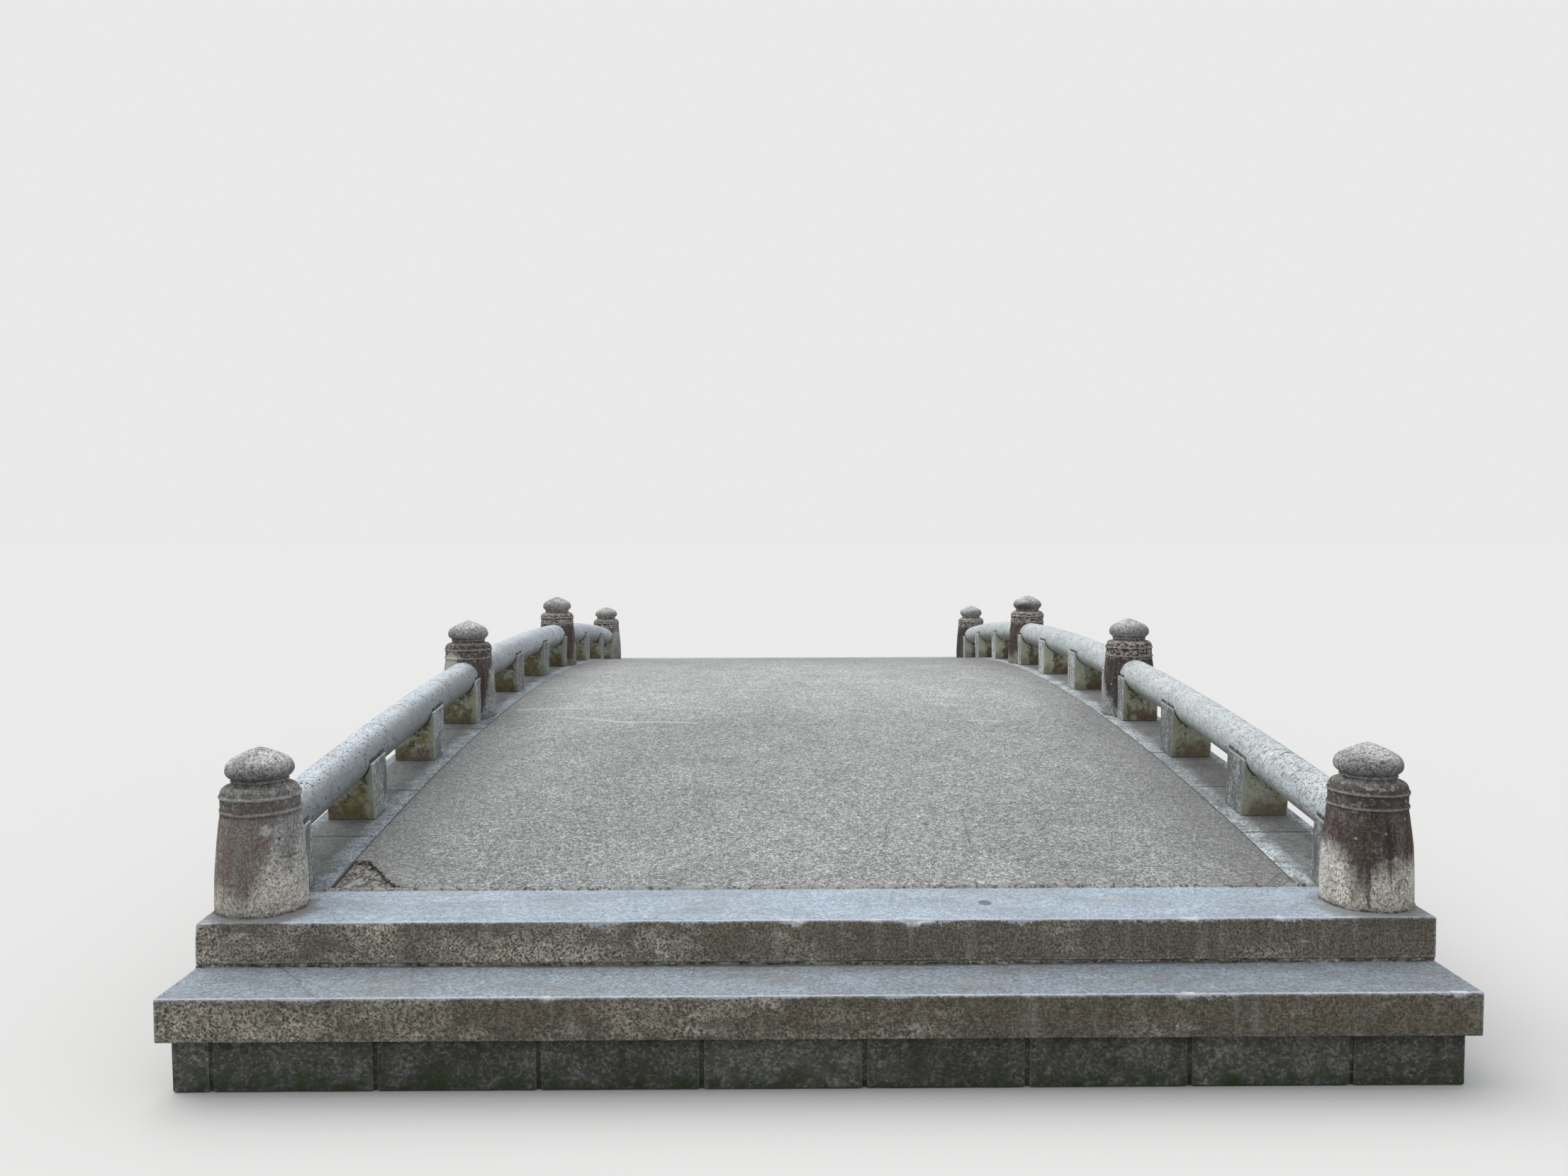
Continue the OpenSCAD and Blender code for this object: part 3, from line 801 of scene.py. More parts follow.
sill_top, sill_thick, sill_depth = 0.490, 0.150, 0.388
sill_front = 4.747
step_front, step_top, step_thick = 5.042, 0.333, 0.150
step_back = sill_front - 0.047
sill_stone = long_stone("sill granite", (0.45, 0.53, 0.605), 0.35, 1.0, [
    ((0.62, -4.55, sill_top), (0.027, 0.038, 0.05), (0.15, 0.18, 0.22), 0.95),
    ((1.10, -4.50, sill_top), (0.05, 0.03, 0.05), (0.55, 0.50, 0.42), 0.5),
    ((-2.02, -4.60, sill_top), (0.24, 0.22, 0.08), (0.20, 0.18, 0.15), 0.7),
    ((2.02, -4.60, sill_top), (0.24, 0.22, 0.08), (0.20, 0.18, 0.15), 0.6)],
    [((-1.75, -4.44), (-1.30, -4.43), 0.003, 0.02), ((-1.05, -4.49), (-0.90, -4.48), 0.003, 0.02)])
step_stone = long_stone("step granite", (0.36, 0.41, 0.455), 0.5, 0.84, [
    ((0.0, -4.740, step_top), (2.3, 0.030, 0.02), (0.15, 0.135, 0.11), 0.8)],
    [((-1.86, -4.76), (-1.66, -5.03), 0.004, 0.03)])
packed_dirt = rubble_stone("packed dirt and mortar", 0.55)
pointing_mortar = rubble_stone("pointing mortar", 0.8, body=(0.38, 0.385, 0.37))

for end, cuts, mortar_cuts in (("near", 420, 420), ("far", 180, 140)):
    across = dict(low=-beam_half, high=beam_half, cuts_across=22, cuts_along=cuts, knocks=1.6,
                  unevenness=0.003)
    sill = cross_row(end, f"long_sill_{end}", sill_front - sill_depth, sill_front,
                     bottom=sill_top - sill_thick, top=sill_top, cuts_up=12, wear=0.006, seed=2.0,
                     stone=sill_stone, **across)
    step = cross_row(end, f"long_step_{end}", step_back, step_front, bottom=step_top - step_thick,
                     top=step_top, cuts_up=10, wear=0.007, seed=9.0, stone=step_stone, **across)
    if end == "near":
        knock_off(sill, -sill_front, sill_top, [
            (0.34, 0.06, 0.030), (-0.09, 0.05, 0.022), (0.20, 0.04, 0.014), (-1.5, 0.03, 0.012),
            (1.30, 0.05, 0.016), (1.62, 0.03, 0.012)])
        knock_off(step, -step_front, step_top, [
            (-0.9, 0.04, 0.012), (1.2, 0.05, 0.012), (2.1, 0.04, 0.016)])
    set_piece(sill, "sill_stone", f"sill_{end}")
    set_piece(step, "sill_stone", f"step_{end}")
    across = dict(low=-beam_half + 0.004, high=beam_half - 0.004, cuts_across=10, cuts_along=mortar_cuts,
                  cuts_up=4)
    bedding = cross_row(end, f"sill_bedding_{end}", step_back + 0.004, sill_front + 0.010,
                        bottom=step_top - 0.004, top=sill_top - sill_thick + 0.003, wear=0.003, knocks=0.5,
                        unevenness=0.002, seed=4.0, stone=packed_dirt, **across)
    for v in bedding.data.vertices:
        at_front = min(max((abs(v.co.y) - sill_front + 0.020) / 0.030, 0.0), 1.0)
        washed_out = min(max(0.60 + noise.fractal(v.co * 11, 0.8, 2.0, 5), 0.0), 1.0)
        v.co.y -= math.copysign(0.018 * at_front * washed_out, v.co.y)
    pointing = cross_row(end, f"sill_pointing_{end}", deck_end - 0.007, deck_end + 0.016,
                         bottom=sill_top - 0.012, top=surface_at(deck_end) + 0.001, wear=0.002,
                         unevenness=0.004, seed=6.0, stone=pointing_mortar, **across)
    for v in pointing.data.vertices:
        slope = 1 - min(max((abs(v.co.y) - deck_end) / (0.010 + 0.008 * noise.noise(v.co * 40)), 0.0), 1.0)
        v.co.z = min(v.co.z, sill_top - 0.004 + (surface_at(deck_end) + 0.005 - sill_top) * slope)
    set_piece(bedding, "sill_stone")
    set_piece(pointing, "sill_stone")

# Newels
# Each newel is turned from one granite stone: a bowed shaft, two beads with a band between them, a round
# shoulder, a ringed neck and a pointed cap. Rain has stained the shafts dark under their beads.


def arc(centre_r, centre_z, radius_r, radius_z, start, stop, steps):
    """Points on a round moulding, in millimetres."""
    return [(centre_r + radius_r * math.cos(math.radians(start + (stop - start) * i / steps)),
             centre_z + radius_z * math.sin(math.radians(start + (stop - start) * i / steps)))
            for i in range(steps + 1)]


newel_tip, tip_bow = 586, 3.0
widest, widest_height, shaft_bow = 161, 40, 4300
round_end = (70 + 50 * math.cos(math.radians(57)), 503 + 50 * math.sin(math.radians(57)))
section = [(0, 0), (154, 0), (157, 1.5), (159.5, 6)]
section += [(widest - (z - widest_height) ** 2 / shaft_bow, z) for z in range(12, 350, 8)]
section += arc(134.5, 360, 9, 9, -60, 65, 10) + [(138, z) for z in (369, 375, 381, 387, 393, 399, 402)]
section += arc(134, 411, 9, 9, -60, 60, 10) + arc(106, 420, 31.5, 31, 5, 85, 14)
section += [(103, 452), (98, 454.5), (96.5, 458), (97, 461.5)] + arc(97, 467, 4.5, 4.5, -75, 75, 6)
section += arc(86, 505, 34, 32, -68, -5, 12) + arc(70, 503, 50, 50, 0, 57, 12)
for i in range(1, 11):
    share = i / 10
    section.append((round_end[0] * (1 - share) + tip_bow * math.sin(math.pi * share) * 0.5,
                    round_end[1] + (newel_tip - round_end[1]) * share + tip_bow * math.sin(math.pi * share)))

# How dark the grime and the painted shade are at each height: in the grooves, under the beads and the cap,
# and at the foot. And how bare the crests are rubbed, which also gives them a painted highlight
grime_and_shade_at = ([0, 10, 50, 340, 350, 356, 366, 370, 380, 398, 404, 416, 421, 440, 449, 458, 467, 476, 484, 500,
             530, 586],
            [.5, .2, 0, .1, .75, .2, .3, .7, .45, .65, .75, .3, .7, .6, .6, .85, .35, .8, .45, .2, .05, 0])
crest_at = ([0, 352, 362, 369, 403, 413, 420, 464, 467, 470, 586], [0, 0, 1, 0, 0, 1, 0, 0, .4, 0, 0])
newel_sides = 96
rubbed_by, chipped_by, fitted_height = 0.0035, 0.012, 0.06


def newel_mesh(name, stone, x, y, foot, seed, stain_edge, stain_top, on_kerb):
    """Turns one newel. The stain's lower edge is a list of angles from the face that looks at the near
    end, counted to the right, and heights in millimetres. It fades out at its top."""
    angles = np.arange(newel_sides) * 2 * np.pi / newel_sides
    edge_angles, edge_heights = zip(*stain_edge)
    verts, marks = [], {"stain": [], "grime_and_shade": [], "wear": [], "rise": []}
    for ring, (radius, height) in enumerate(section):
        grime_and_shade, crest = np.interp(height, *grime_and_shade_at), np.interp(height, *crest_at)
        radius, height = radius / 1000, height / 1000
        for angle in angles if 0 < ring < len(section) - 1 else angles[:1]:
            across, along = math.sin(angle), -math.cos(angle)
            here = Vector((across, along, height * 6 + seed * 7))
            worn_away = min(max(rubbed_by * (0.5 + 0.5 * noise.fractal(here * 1.3, 0.8, 2.0, 4)), 0.0), 0.004)
            chipped = max(0.0, noise.noise(here * 2.6) - 0.15) * chipped_by * crest
            r = max(0.0, radius - worn_away * min(1.0, radius / 0.05) - chipped)
            py, pz = y + r * along, foot + height
            if on_kerb:
                pz += (surface_at(py) - foot) * max(0.0, 1 - height / fitted_height)
            verts.append((x + r * across, py, pz))
            limit = np.interp(math.degrees(math.atan2(across, -along)), edge_angles, edge_heights, period=360)
            level = min((height * 1000 - limit) / 70, (stain_top - height * 1000) / 12)
            here_marked = (min(max(level, -1.6), 1.0), grime_and_shade, crest, height * 1000 / newel_tip)
            for key, value in zip(marks, here_marked):
                marks[key].append(float(value))
    n = newel_sides
    faces = [(0, 1 + (k + 1) % n, 1 + k) for k in range(n)]
    last, tip = len(verts) - 1 - n, len(verts) - 1
    for base in range(1, last, n):
        faces += [(base + k, base + (k + 1) % n, base + n + (k + 1) % n, base + n + k) for k in range(n)]
    faces += [(last + k, last + (k + 1) % n, tip) for k in range(n)]
    mesh = new_mesh(name, verts, faces, stone)
    for key, values in marks.items():
        mesh.attributes.new(key, "FLOAT", "POINT").data.foreach_set("value", values)
    return mesh


# Lichen: round crusts with a ragged rim
lichen, given = new_group("Lichen", "Shader", dict(spot=0.03, cover=0.15), dict(mask="Float"))
place = on_object()
crusts = node("ShaderNodeTexVoronoi", {"Vector": place, "Scale": 0.5 / given.spot}, out="Distance")
luck = parts_of(Value(crusts.socket.node.outputs["Color"]))
rim = cloud(place, 90, 2) * 0.25 - 0.125
inside = (luck[1] * 0.30 + 0.08) - (rim + crusts)
give_out(mask=between(inside, 0, 0.05) * (luck[0] < given.cover))


def newel_stone(name, foot, stain_colour, hold, foot_light_and_tone, marks, crusty=0.0):
    """Weathered granite of a newel. Hold is how well its stain covers, crusty is how much of its dirty
    shoulder has flaked pale, from 0 to 1, and the marks are its own: an angle and a height on it, a half
    size, a colour, a strength, and a distance from its axis if that isn't 0.15."""
    body, white = (0.60, 0.575, 0.54), (1, 1, 1)
    stone = new_stone(name)
    colour, grains = use(granite, grain=0.0045, body=body, dark_grain=tinted(body, 0.55),
                         pale_grain=(0.74, 0.72, 0.68), speckle=0.7, mottle=0.20, clouding=1.2)
    place, rise, grime_and_shade = on_object(), mark("rise"), mark("grime_and_shade")
    # Painted light and shade on the cap: darker under it and brighter towards its tip; the cap is also
    # slightly bluer
    cap_light_and_shade = between(rise, 0.81, 0.86, 1, 0.86) * between(rise, 0.86, 0.98, 1, 1.55)
    # The lower shaft is scaled: on the near newels lighter, as painted light thrown up from the sill and the
    # water; on the others darker
    colour = colour * lay_over(white, between(rise, 0.62, 0.12), foot_light_and_tone)
    colour = colour * lay_over(white, between(rise, 0.80, 0.86), (0.98, 1.0, 1.02)) * cap_light_and_shade
    pits = between(cloud(place * (1, 1, 0.7), 120, 4, 0.75), 0.54, 0.60)
    colour = lay_over(colour, pits * between(rise, 0.7, 0.85, 0.6, 0.85), (0.13, 0.125, 0.13))
    torn = (cloud(place * (1, 1, 0.10), 55, 4, 0.65) + cloud(place, 26, 5, 0.65)) * 1.8 - 1.8
    stained = between(mark("stain") + torn, -0.65, 0.50)
    depth = between(cloud(place * (1, 1, 0.2), 24, 5, 0.65), 0.36, 0.62, 0.80, 1)
    streaks = between(cloud(place * (1, 1, 0.15), 150, 3, 0.6), 0.34, 0.52, 0.45 + 0.5 * hold, 1)
    pores = between(cloud(place, 120, 3, 0.75), 0.40, 0.52, 0.75 * hold, 1)
    stain = lay_over(stain_colour, between(cloud(place, 17, 4, 0.6), 0.44, 0.60),
                     tinted(stain_colour, 1.0, 1.225, 1.025))
    colour = lay_over(colour, stained * (depth * (streaks * pores)), stain)
    patchy = between(cloud(place, 42, 5, 0.7), 0.30, 0.62, 0.45, 1.20)
    # Grime, with painted shade in the grooves, under the beads and the cap, and at the foot
    colour = lay_over(colour, grime_and_shade * patchy,
                      (0.115 - 0.04 * crusty, 0.11 - 0.055 * crusty, 0.10 - 0.05 * crusty))
    blotched = between(cloud(place, 17, 5, 0.65), 0.51, 0.60) * between(rise, 0.78, 0.84)
    colour = lay_over(colour, blotched * 0.40, (0.17, 0.175, 0.19))
    flaking = between(cloud(place * (1, 1, 1.6), 48, 5, 0.7), 0.56 - 0.08 * crusty, 0.61 - 0.08 * crusty)
    flaking = flaking * (between(grime_and_shade, 0.15, 0.45) * between(grime_and_shade, 0.77, 0.62, 1 - 0.9 * crusty, 1))
    colour = lay_over(colour, flaking * (0.65 + 0.25 * crusty),
                      (0.54 + 0.12 * crusty, 0.50 + 0.11 * crusty, 0.455 + 0.10 * crusty))
    colour = lay_over(colour, use(lichen, spot=0.011, cover=0.05) * 0.5, (0.46, 0.48, 0.41))
    # Pale crests: rubbed bare, and on the bead crests also a painted highlight
    colour = lay_over(colour, use(worn_arris, reach=0.60) * 0.7,
                      (0.56 + 0.12 * crusty, 0.55 + 0.08 * crusty, 0.52))
    for angle, height, size, tone, strength, *reach in marks:
        out, turned = reach[0] if reach else 0.15, math.radians(angle)
        centre = (foot[0] + out * math.sin(turned), foot[1] - out * math.cos(turned), foot[2] + height)
        drawn = use(spot, centre=centre, size=size, ragged=1.6, soft=0.5, detail=70.0)
        colour = lay_over(colour, drawn * strength, tone)
    finish_stone(colour, pits * -0.5 + grains, 0.003, 0.88)
    return stone


row_x, end_newel_y = 2.025, 4.545
newel_places = [-end_newel_y, -pier_y, pier_y, end_newel_y]
sides = {"left": -1, "right": 1}
middle_foot = round(surface_at(pier_y), 3)
pale_crust = (0.62, 0.65, 0.57)
newel_stones = {
    "left_1": newel_stone("left near newel granite", (-row_x, -end_newel_y, sill_top), (0.312, 0.218, 0.198),
                          0.70, (1.42, 1.36, 1.25), [
        (-37, 0.386, (0.014, 0.02, 0.016), pale_crust, 0.85),
        (-39, 0.338, (0.014, 0.02, 0.018), pale_crust, 0.85),
        (-29, 0.296, (0.005, 0.02, 0.006), pale_crust, 0.85),
        (28, 0.306, (0.027, 0.03, 0.024), (0.80, 0.82, 0.78), 0.8),
        # Painted shadow: a grey band on the right of the shaft, with a dark level edge at its foot
        (62, 0.205, (0.050, 0.07, 0.009), (0.15, 0.15, 0.145), 0.75),
        (62, 0.245, (0.045, 0.07, 0.050), (0.20, 0.20, 0.195), 0.40),
        (66, 0.285, (0.050, 0.07, 0.060), (0.28, 0.28, 0.275), 0.25),
        (46.6, 0.273, (0.006, 0.01, 0.007), (0.08, 0.08, 0.09), 0.8)]),
    "right_1": newel_stone("right near newel granite", (row_x, -end_newel_y, sill_top), (0.095, 0.051, 0.045),
                           1.05, (1.54, 1.48, 1.37), [
        (-36, 0.384, (0.011, 0.02, 0.009), pale_crust, 0.8),
        (-15, 0.388, (0.009, 0.02, 0.014), (0.46, 0.48, 0.38), 0.8),
        (3, 0.386, (0.007, 0.02, 0.012), pale_crust, 0.8),
        (36, 0.386, (0.011, 0.02, 0.016), pale_crust, 0.9),
        (33, 0.330, (0.007, 0.02, 0.012), pale_crust, 0.9),
        (-56, 0.342, (0.006, 0.02, 0.006), pale_crust, 0.9),
        (-40, 0.257, (0.006, 0.02, 0.006), pale_crust, 0.9),
        (-1, 0.280, (0.006, 0.02, 0.006), pale_crust, 0.9),
        (-26, 0.436, (0.018, 0.04, 0.009), (0.48, 0.48, 0.47), 0.7, 0.12),
        (-5, 0.434, (0.016, 0.04, 0.008), (0.50, 0.50, 0.49), 0.7, 0.12),
        (14, 0.436, (0.012, 0.04, 0.010), (0.50, 0.50, 0.49), 0.7, 0.12),
        (3, 0.265, (0.013, 0.05, 0.085), (0.06, 0.045, 0.04), 0.7),
        (-23, 0.100, (0.011, 0.05, 0.130), (0.11, 0.075, 0.07), 0.75, 0.16),
        (-36, 0.105, (0.040, 0.05, 0.115), (0.17, 0.13, 0.12), 0.5, 0.16),
        (-50, 0.130, (0.0070, 0.02, 0.060), (0.15, 0.11, 0.10), 0.35, 0.16),
        (-32, 0.130, (0.0090, 0.02, 0.060), (0.13, 0.085, 0.08), 0.4, 0.16),
        (4, 0.130, (0.0050, 0.02, 0.050), (0.13, 0.09, 0.085), 0.6, 0.16),
        (15, 0.085, (0.0030, 0.02, 0.040), (0.14, 0.10, 0.09), 0.5, 0.16)]),
    "left_2": newel_stone("left middle newel granite", (-row_x, -pier_y, middle_foot), (0.075, 0.045, 0.040),
                          1.1, (0.74, 0.79, 0.81), [
        (-35, 0.340, (0.085, 0.09, 0.090), (0.80, 0.82, 0.66), 0.9)], crusty=0.4),
    "right_2": newel_stone("right middle newel granite", (row_x, -pier_y, middle_foot), (0.058, 0.030, 0.028),
                           1.1, (0.90, 0.95, 0.97), [
        (-37, 0.319, (0.007, 0.02, 0.008), pale_crust, 0.95),
        (-59, 0.191, (0.007, 0.02, 0.007), pale_crust, 0.95),
        (-68, 0.290, (0.004, 0.02, 0.005), pale_crust, 0.8)], crusty=0.9)}
far_newel_stone = newel_stone("far newel granite", (row_x, pier_y, middle_foot), (0.074, 0.043, 0.040), 1.1,
                              (0.66, 0.64, 0.58), [
    (-30, 0.491, (0.12, 0.09, 0.036), (0.12, 0.105, 0.09), 0.85, 0.10)], crusty=1.0)

# The lower edge of the stain on each newel, and its top
stains = {
    "left_1": ([(-180, 180), (-90, 120), (-67, 80), (-40, 100), (-20, 110), (-4, 70), (6, 70), (14, 130),
                (22, 175), (30, 210), (38, 290), (46, 345), (113, 350), (150, 200)], 398),
    "right_1": ([(-180, 190), (-116, 215), (-94, 216), (-76, 222), (-60, 215), (-50, 195), (-42, 150),
                 (-34, 125), (-22, 120), (-14, 160), (-10, 185), (-2, 187), (2, 150), (6, 150), (13, 200),
                 (30, 189), (44, 180), (94, 200)], 446),
    "left_2": ([(-180, 150), (-90, 300), (-60, 335), (-12, 335), (-5, 60), (10, 20), (40, 10), (47, 60),
                (56, 146), (64, 227), (72, 300), (95, 330), (140, 120)], 440),
    "right_2": ([(-180, 150), (-112, 250), (-96, 230), (-84, 190), (-75, 165), (-66, 120), (-56, 85),
                 (-46, 50), (-38, 35), (-15, 60), (0, 120), (35, 150), (60, 120), (90, 160),
                 (140, 120)], 446),
    "left_3": ([(-180, 120), (-90, 170), (-40, 150), (10, 90), (30, 55), (60, 60), (78, 190), (120, 200)],
               430),
    "right_3": ([(-180, 160), (-112, 150), (-95, 100), (-60, 70), (-40, 140), (0, 190), (90, 120)], 430),
    "left_4": ([(-180, 150), (-90, 120), (10, 60), (26, 120), (36, 330), (110, 340), (150, 200)], 430),
    "right_4": ([(-180, 150), (-130, 90), (-100, 10), (-20, 10), (20, 120), (90, 160)], 430)}

for side, sign in sides.items():
    for i, y in enumerate(newel_places):
        key, on_kerb = f"{side}_{i + 1}", i in (1, 2)
        newel = newel_mesh(f"turned_newel_{key}", newel_stones.get(key, far_newel_stone), sign * row_x, y,
                           surface_at(y) if on_kerb else sill_top, 3 * i + sign, *stains[key], on_kerb)
        set_piece(new_object(newel.name, newel), "newel_stone", f"newel_{key}")

# Under each newel is a thin ragged bead of mortar, squeezed out and weathered away in places
bead_stone = rubble_stone("newel mortar", 0.7)
bead_sides, bead_inside, bead_foot = 180, 0.152, -0.002
bead_reach, bead_rise, bead_spread, bead_swell = 0.157, 0.002, 0.010, 0.007
for side, sign in sides.items():
    for i, y in enumerate(newel_places):
        on_kerb = i in (1, 2)
        verts, faces = [], []
        for k in range(bead_sides):
            angle = 2 * math.pi * k / bead_sides
            across, along = math.sin(angle), -math.cos(angle)
            left_over = noise.fractal(Vector((across * 2.5, along * 2.5, i * 3 + sign)), 0.8, 2.0, 5) + 0.25
            left_over = min(max(left_over, 0), 0.9)
            out, up = bead_reach + bead_spread * left_over, bead_rise + bead_swell * left_over
            for reach, rise in ((bead_inside, up), (out - 0.002, up * 0.8), (out, bead_foot),
                                (bead_inside, bead_foot)):
                px, py = sign * min(row_x + sign * reach * across, edge_x - 0.001), y + reach * along
                verts.append((px, py, (surface_at(py) if on_kerb else sill_top) + rise))
            here, after = 4 * k, 4 * ((k + 1) % bead_sides)
            faces += [(here + j, here + (j + 1) % 4, after + (j + 1) % 4, after + j) for j in range(4)]
        bead = new_mesh(f"newel_mortar_{side}_{i + 1}", verts, faces, bead_stone)
        set_piece(new_object(bead.name, bead), "newel_stone")

# Rail blocks
# Dressed blocks stand on the kerb and hold the rail in a hollow seat between two thin lips: two whole ones
# in a bay, and half ones fitted against the newels. Moss grows on their shaded ends.

# The face of a newel: how far it is from the axis along the bridge, at a place beside the axis and a
# height over its foot
newel_face, given = new_group("Newel face", "Geometry", dict(beside=0.0, height=0.0, gap=0.0015),
                              dict(reach="Float"))
above = given.height - widest_height / 1000
there = above * above * (-1000 / shaft_bow) + widest / 1000
room = there * there - given.beside * given.beside
give_out(reach=calc("SQRT", calc("MAXIMUM", room, 0)) + given.gap)

seated, given = new_group("Seated blocks", "Geometry", dict(
    row=0.0, near_newel=0.0, far_newel=0.0, near_step=0.0, far_step=0.0, width=0.212, length=0.190,
    height=0.255, spacing=0.480, half_near=0.150, half_far=0.240, seat_radius=0.095, seat_centre=0.264,
    wear=0.005, seed=0.0, stone="Material"), dict(geometry="Geometry"))
cube = node("GeometryNodeMeshCube", {"Size": (2, 2, 2), "Vertices X": 29, "Vertices Y": 15, "Vertices Z": 18})
row = row_of(cube, 4)
number, unit = stored("number"), stored("unit", "FLOAT_VECTOR")
from_middle = number - 1.5
is_half = abs(from_middle) > 1
half_middle = (given.far_newel - given.near_newel) * 0.5 - (given.half_near + given.half_far) * 0.5
off_middle = choose(is_half, given.spacing, half_middle)
centre_y = calc("SIGN", from_middle) * off_middle + (given.near_newel + given.far_newel) * 0.5
block_long = choose(is_half, given.length, given.half_far - given.half_near)
centre = vector_of(given.row, centre_y, given.height * 0.5)
position, face, edge = use(worn_block, unit=unit, half=vector_of(given.width, block_long, given.height) * 0.5,
                           wear=given.wear, knocks=3.0, unevenness=0.003,
                           centre=centre + vector_of(given.seed, 0, 0))
beside, along, over = parts_of(position + centre * (0, 1, 1))
hollow = given.seat_radius * given.seat_radius - beside * beside
seat = given.seat_centre - calc("SQRT", calc("MAXIMUM", hollow, 0))
height = over / given.height * calc("SMOOTH_MIN", seat, given.height, 0.004)
near_limit = given.near_newel + use(newel_face, beside=beside, height=height - given.near_step)
far_limit = given.far_newel - use(newel_face, beside=beside, height=height - given.far_step)
planned_start = centre_y - block_long * 0.5
start = choose(number < 0.5, planned_start, near_limit)
stop = choose(number > 2.5, centre_y + block_long * 0.5, far_limit)
fitted = (along - planned_start) / block_long * (stop - start) + start
row = store(row, wear=edge, stone=luck_of(number, given.seed), rise=height / given.height, face=face)
end_row(row, use(on_arch, flat=vector_of(beside + given.row, fitted, height)), given.stone)

block_stone = new_stone("rail block granite")
colour, grains = use(granite, grain=0.006, body=(0.54, 0.555, 0.54), dark_grain=(0.22, 0.22, 0.22),
                     pale_grain=(0.76, 0.77, 0.75), speckle=0.75, mottle=0.3, clouding=1.0)
place, rise = on_object(), mark("rise")
x, y = parts_of(place)[:2]
aside, ahead, up = facing()
at_end, on_side = between(abs(ahead), 0.5, 0.85), between(abs(aside), 0.5, 0.85)
on_right = between(x, -0.5, 0.5)
sunny, near_right = on_right * between(y, -1.7, -1.2), on_right * between(y, -1.7, -2.3)
end_tone = lay_over((0.46, 0.46, 0.34), between(cloud(place, 60, 5, 0.7), 0.42, 0.62), (0.66, 0.65, 0.54))
colour = lay_over(colour, at_end * 0.85, end_tone)
mossy = cloud(place, 9, 6, 0.75) + between(rise, 0.75, 0.2, -0.05, 0.06)
mossy = between(mossy, 0.47, 0.59) * at_end * (near_right * -0.55 + 1)
moss = lay_over((0.26, 0.24, 0.055), between(y, -2.9, -1.7), (0.17, 0.14, 0.02))
colour = lay_over(colour, mossy * 0.8, moss)
# Soot on the ends, with painted shade added high up towards the inner edge, under the rail
soot_and_shade = cloud(place + (5, 3, 1), 22, 7, 0.8)
soot_and_shade = soot_and_shade + between(rise, 0.40, 0.90) * between(abs(x), 2.09, 1.98, 0.02, 0.15)
colour = lay_over(colour, between(soot_and_shade, 0.535, 0.61) * at_end * 0.8, (0.08, 0.066, 0.038))
brown_low = between(rise + (cloud(place, 14, 4) * 0.7 - 0.35), 0.42, 0.06) * at_end
colour = lay_over(colour, brown_low * 0.8, (0.15, 0.10, 0.065))
# Pale clean stone along the inner edge of the ends, reaching further on the sunny blocks as painted light
clean_and_sunlit_edge = abs(x) + cloud(place, 16, 5, 0.7) * 0.12 - 0.06 - sunny * 0.045
clean_and_sunlit_edge = between(clean_and_sunlit_edge, 1.957, 1.945) * (at_end - brown_low * 0.5)
colour = lay_over(colour, clean_and_sunlit_edge * 0.8, (0.48, 0.49, 0.38))
damp = between(cloud(place * (1, 1, 0.4), 16, 6, 0.75), 0.42, 0.62)
colour = lay_over(colour, damp * on_side * 0.75, (0.16, 0.17, 0.18))
wet = use(water_marks, width=0.016, length=5.0, cover=0.6)
colour = lay_over(colour, wet * on_side * 0.4, (0.13, 0.135, 0.14))
colour = lay_over(colour, use(lichen, spot=0.045, cover=0.15) * 0.7, (0.42, 0.43, 0.34))
# Painted shade in the seat, under the rail
in_seat = between(up, 0.7, 0.95) * between(mark("wear"), 0.7, 0.2)
colour = lay_over(colour, in_seat * 0.8, (0.07, 0.065, 0.055))
colour = lay_over(colour, use(worn_arris, reach=0.42) * 0.6, (0.62, 0.62, 0.58))
# Painted light and shade: the sunny blocks lighter on their sides and pale edges, the near blocks lighter,
# every side face darker, and on the near right blocks the ends lighter and the sides darker
painted_light_and_shade = sunny * calc("MAXIMUM", on_side * 0.60, clean_and_sunlit_edge * 0.55) + (on_side * -0.15 + 1)
painted_light_and_shade = painted_light_and_shade * between(y, -1.7, -1.2, 1.15, 1) * (near_right * (at_end * 0.32 - 0.17) + 1)
finish_stone(colour * (painted_light_and_shade * (mark("stone") * 0.25 + 0.87)), grains, 0.0035, 0.85)

end_step = sill_top - surface_at(end_newel_y)
foot_steps = [end_step, 0.0, 0.0, end_step]


def fill_bays(group, name, slot, node_name, bay_seed, side_seed, stone):
    """Grows a piece from newel to newel in each bay of both sides."""
    for side, sign in sides.items():
        for bay in range(3):
            piece = grow(group, f"{name}_{side}_{bay + 1}", row=sign * row_x, near_newel=newel_places[bay],
                         far_newel=newel_places[bay + 1], near_step=foot_steps[bay],
                         far_step=foot_steps[bay + 1], seed=bay_seed * bay + side_seed * sign, stone=stone)
            set_piece(piece, slot, f"{node_name}_{side}_{bay + 1}")


fill_bays(seated, "seat_blocks", "block_stone", "rail_blocks", 3.0, 1.0, block_stone)

# Rails
# A round bar of pale speckled granite, cut to the curve of the arch, runs from newel to newel in each bay.
# Its top is bleached, and grime hangs in patches along its sides.

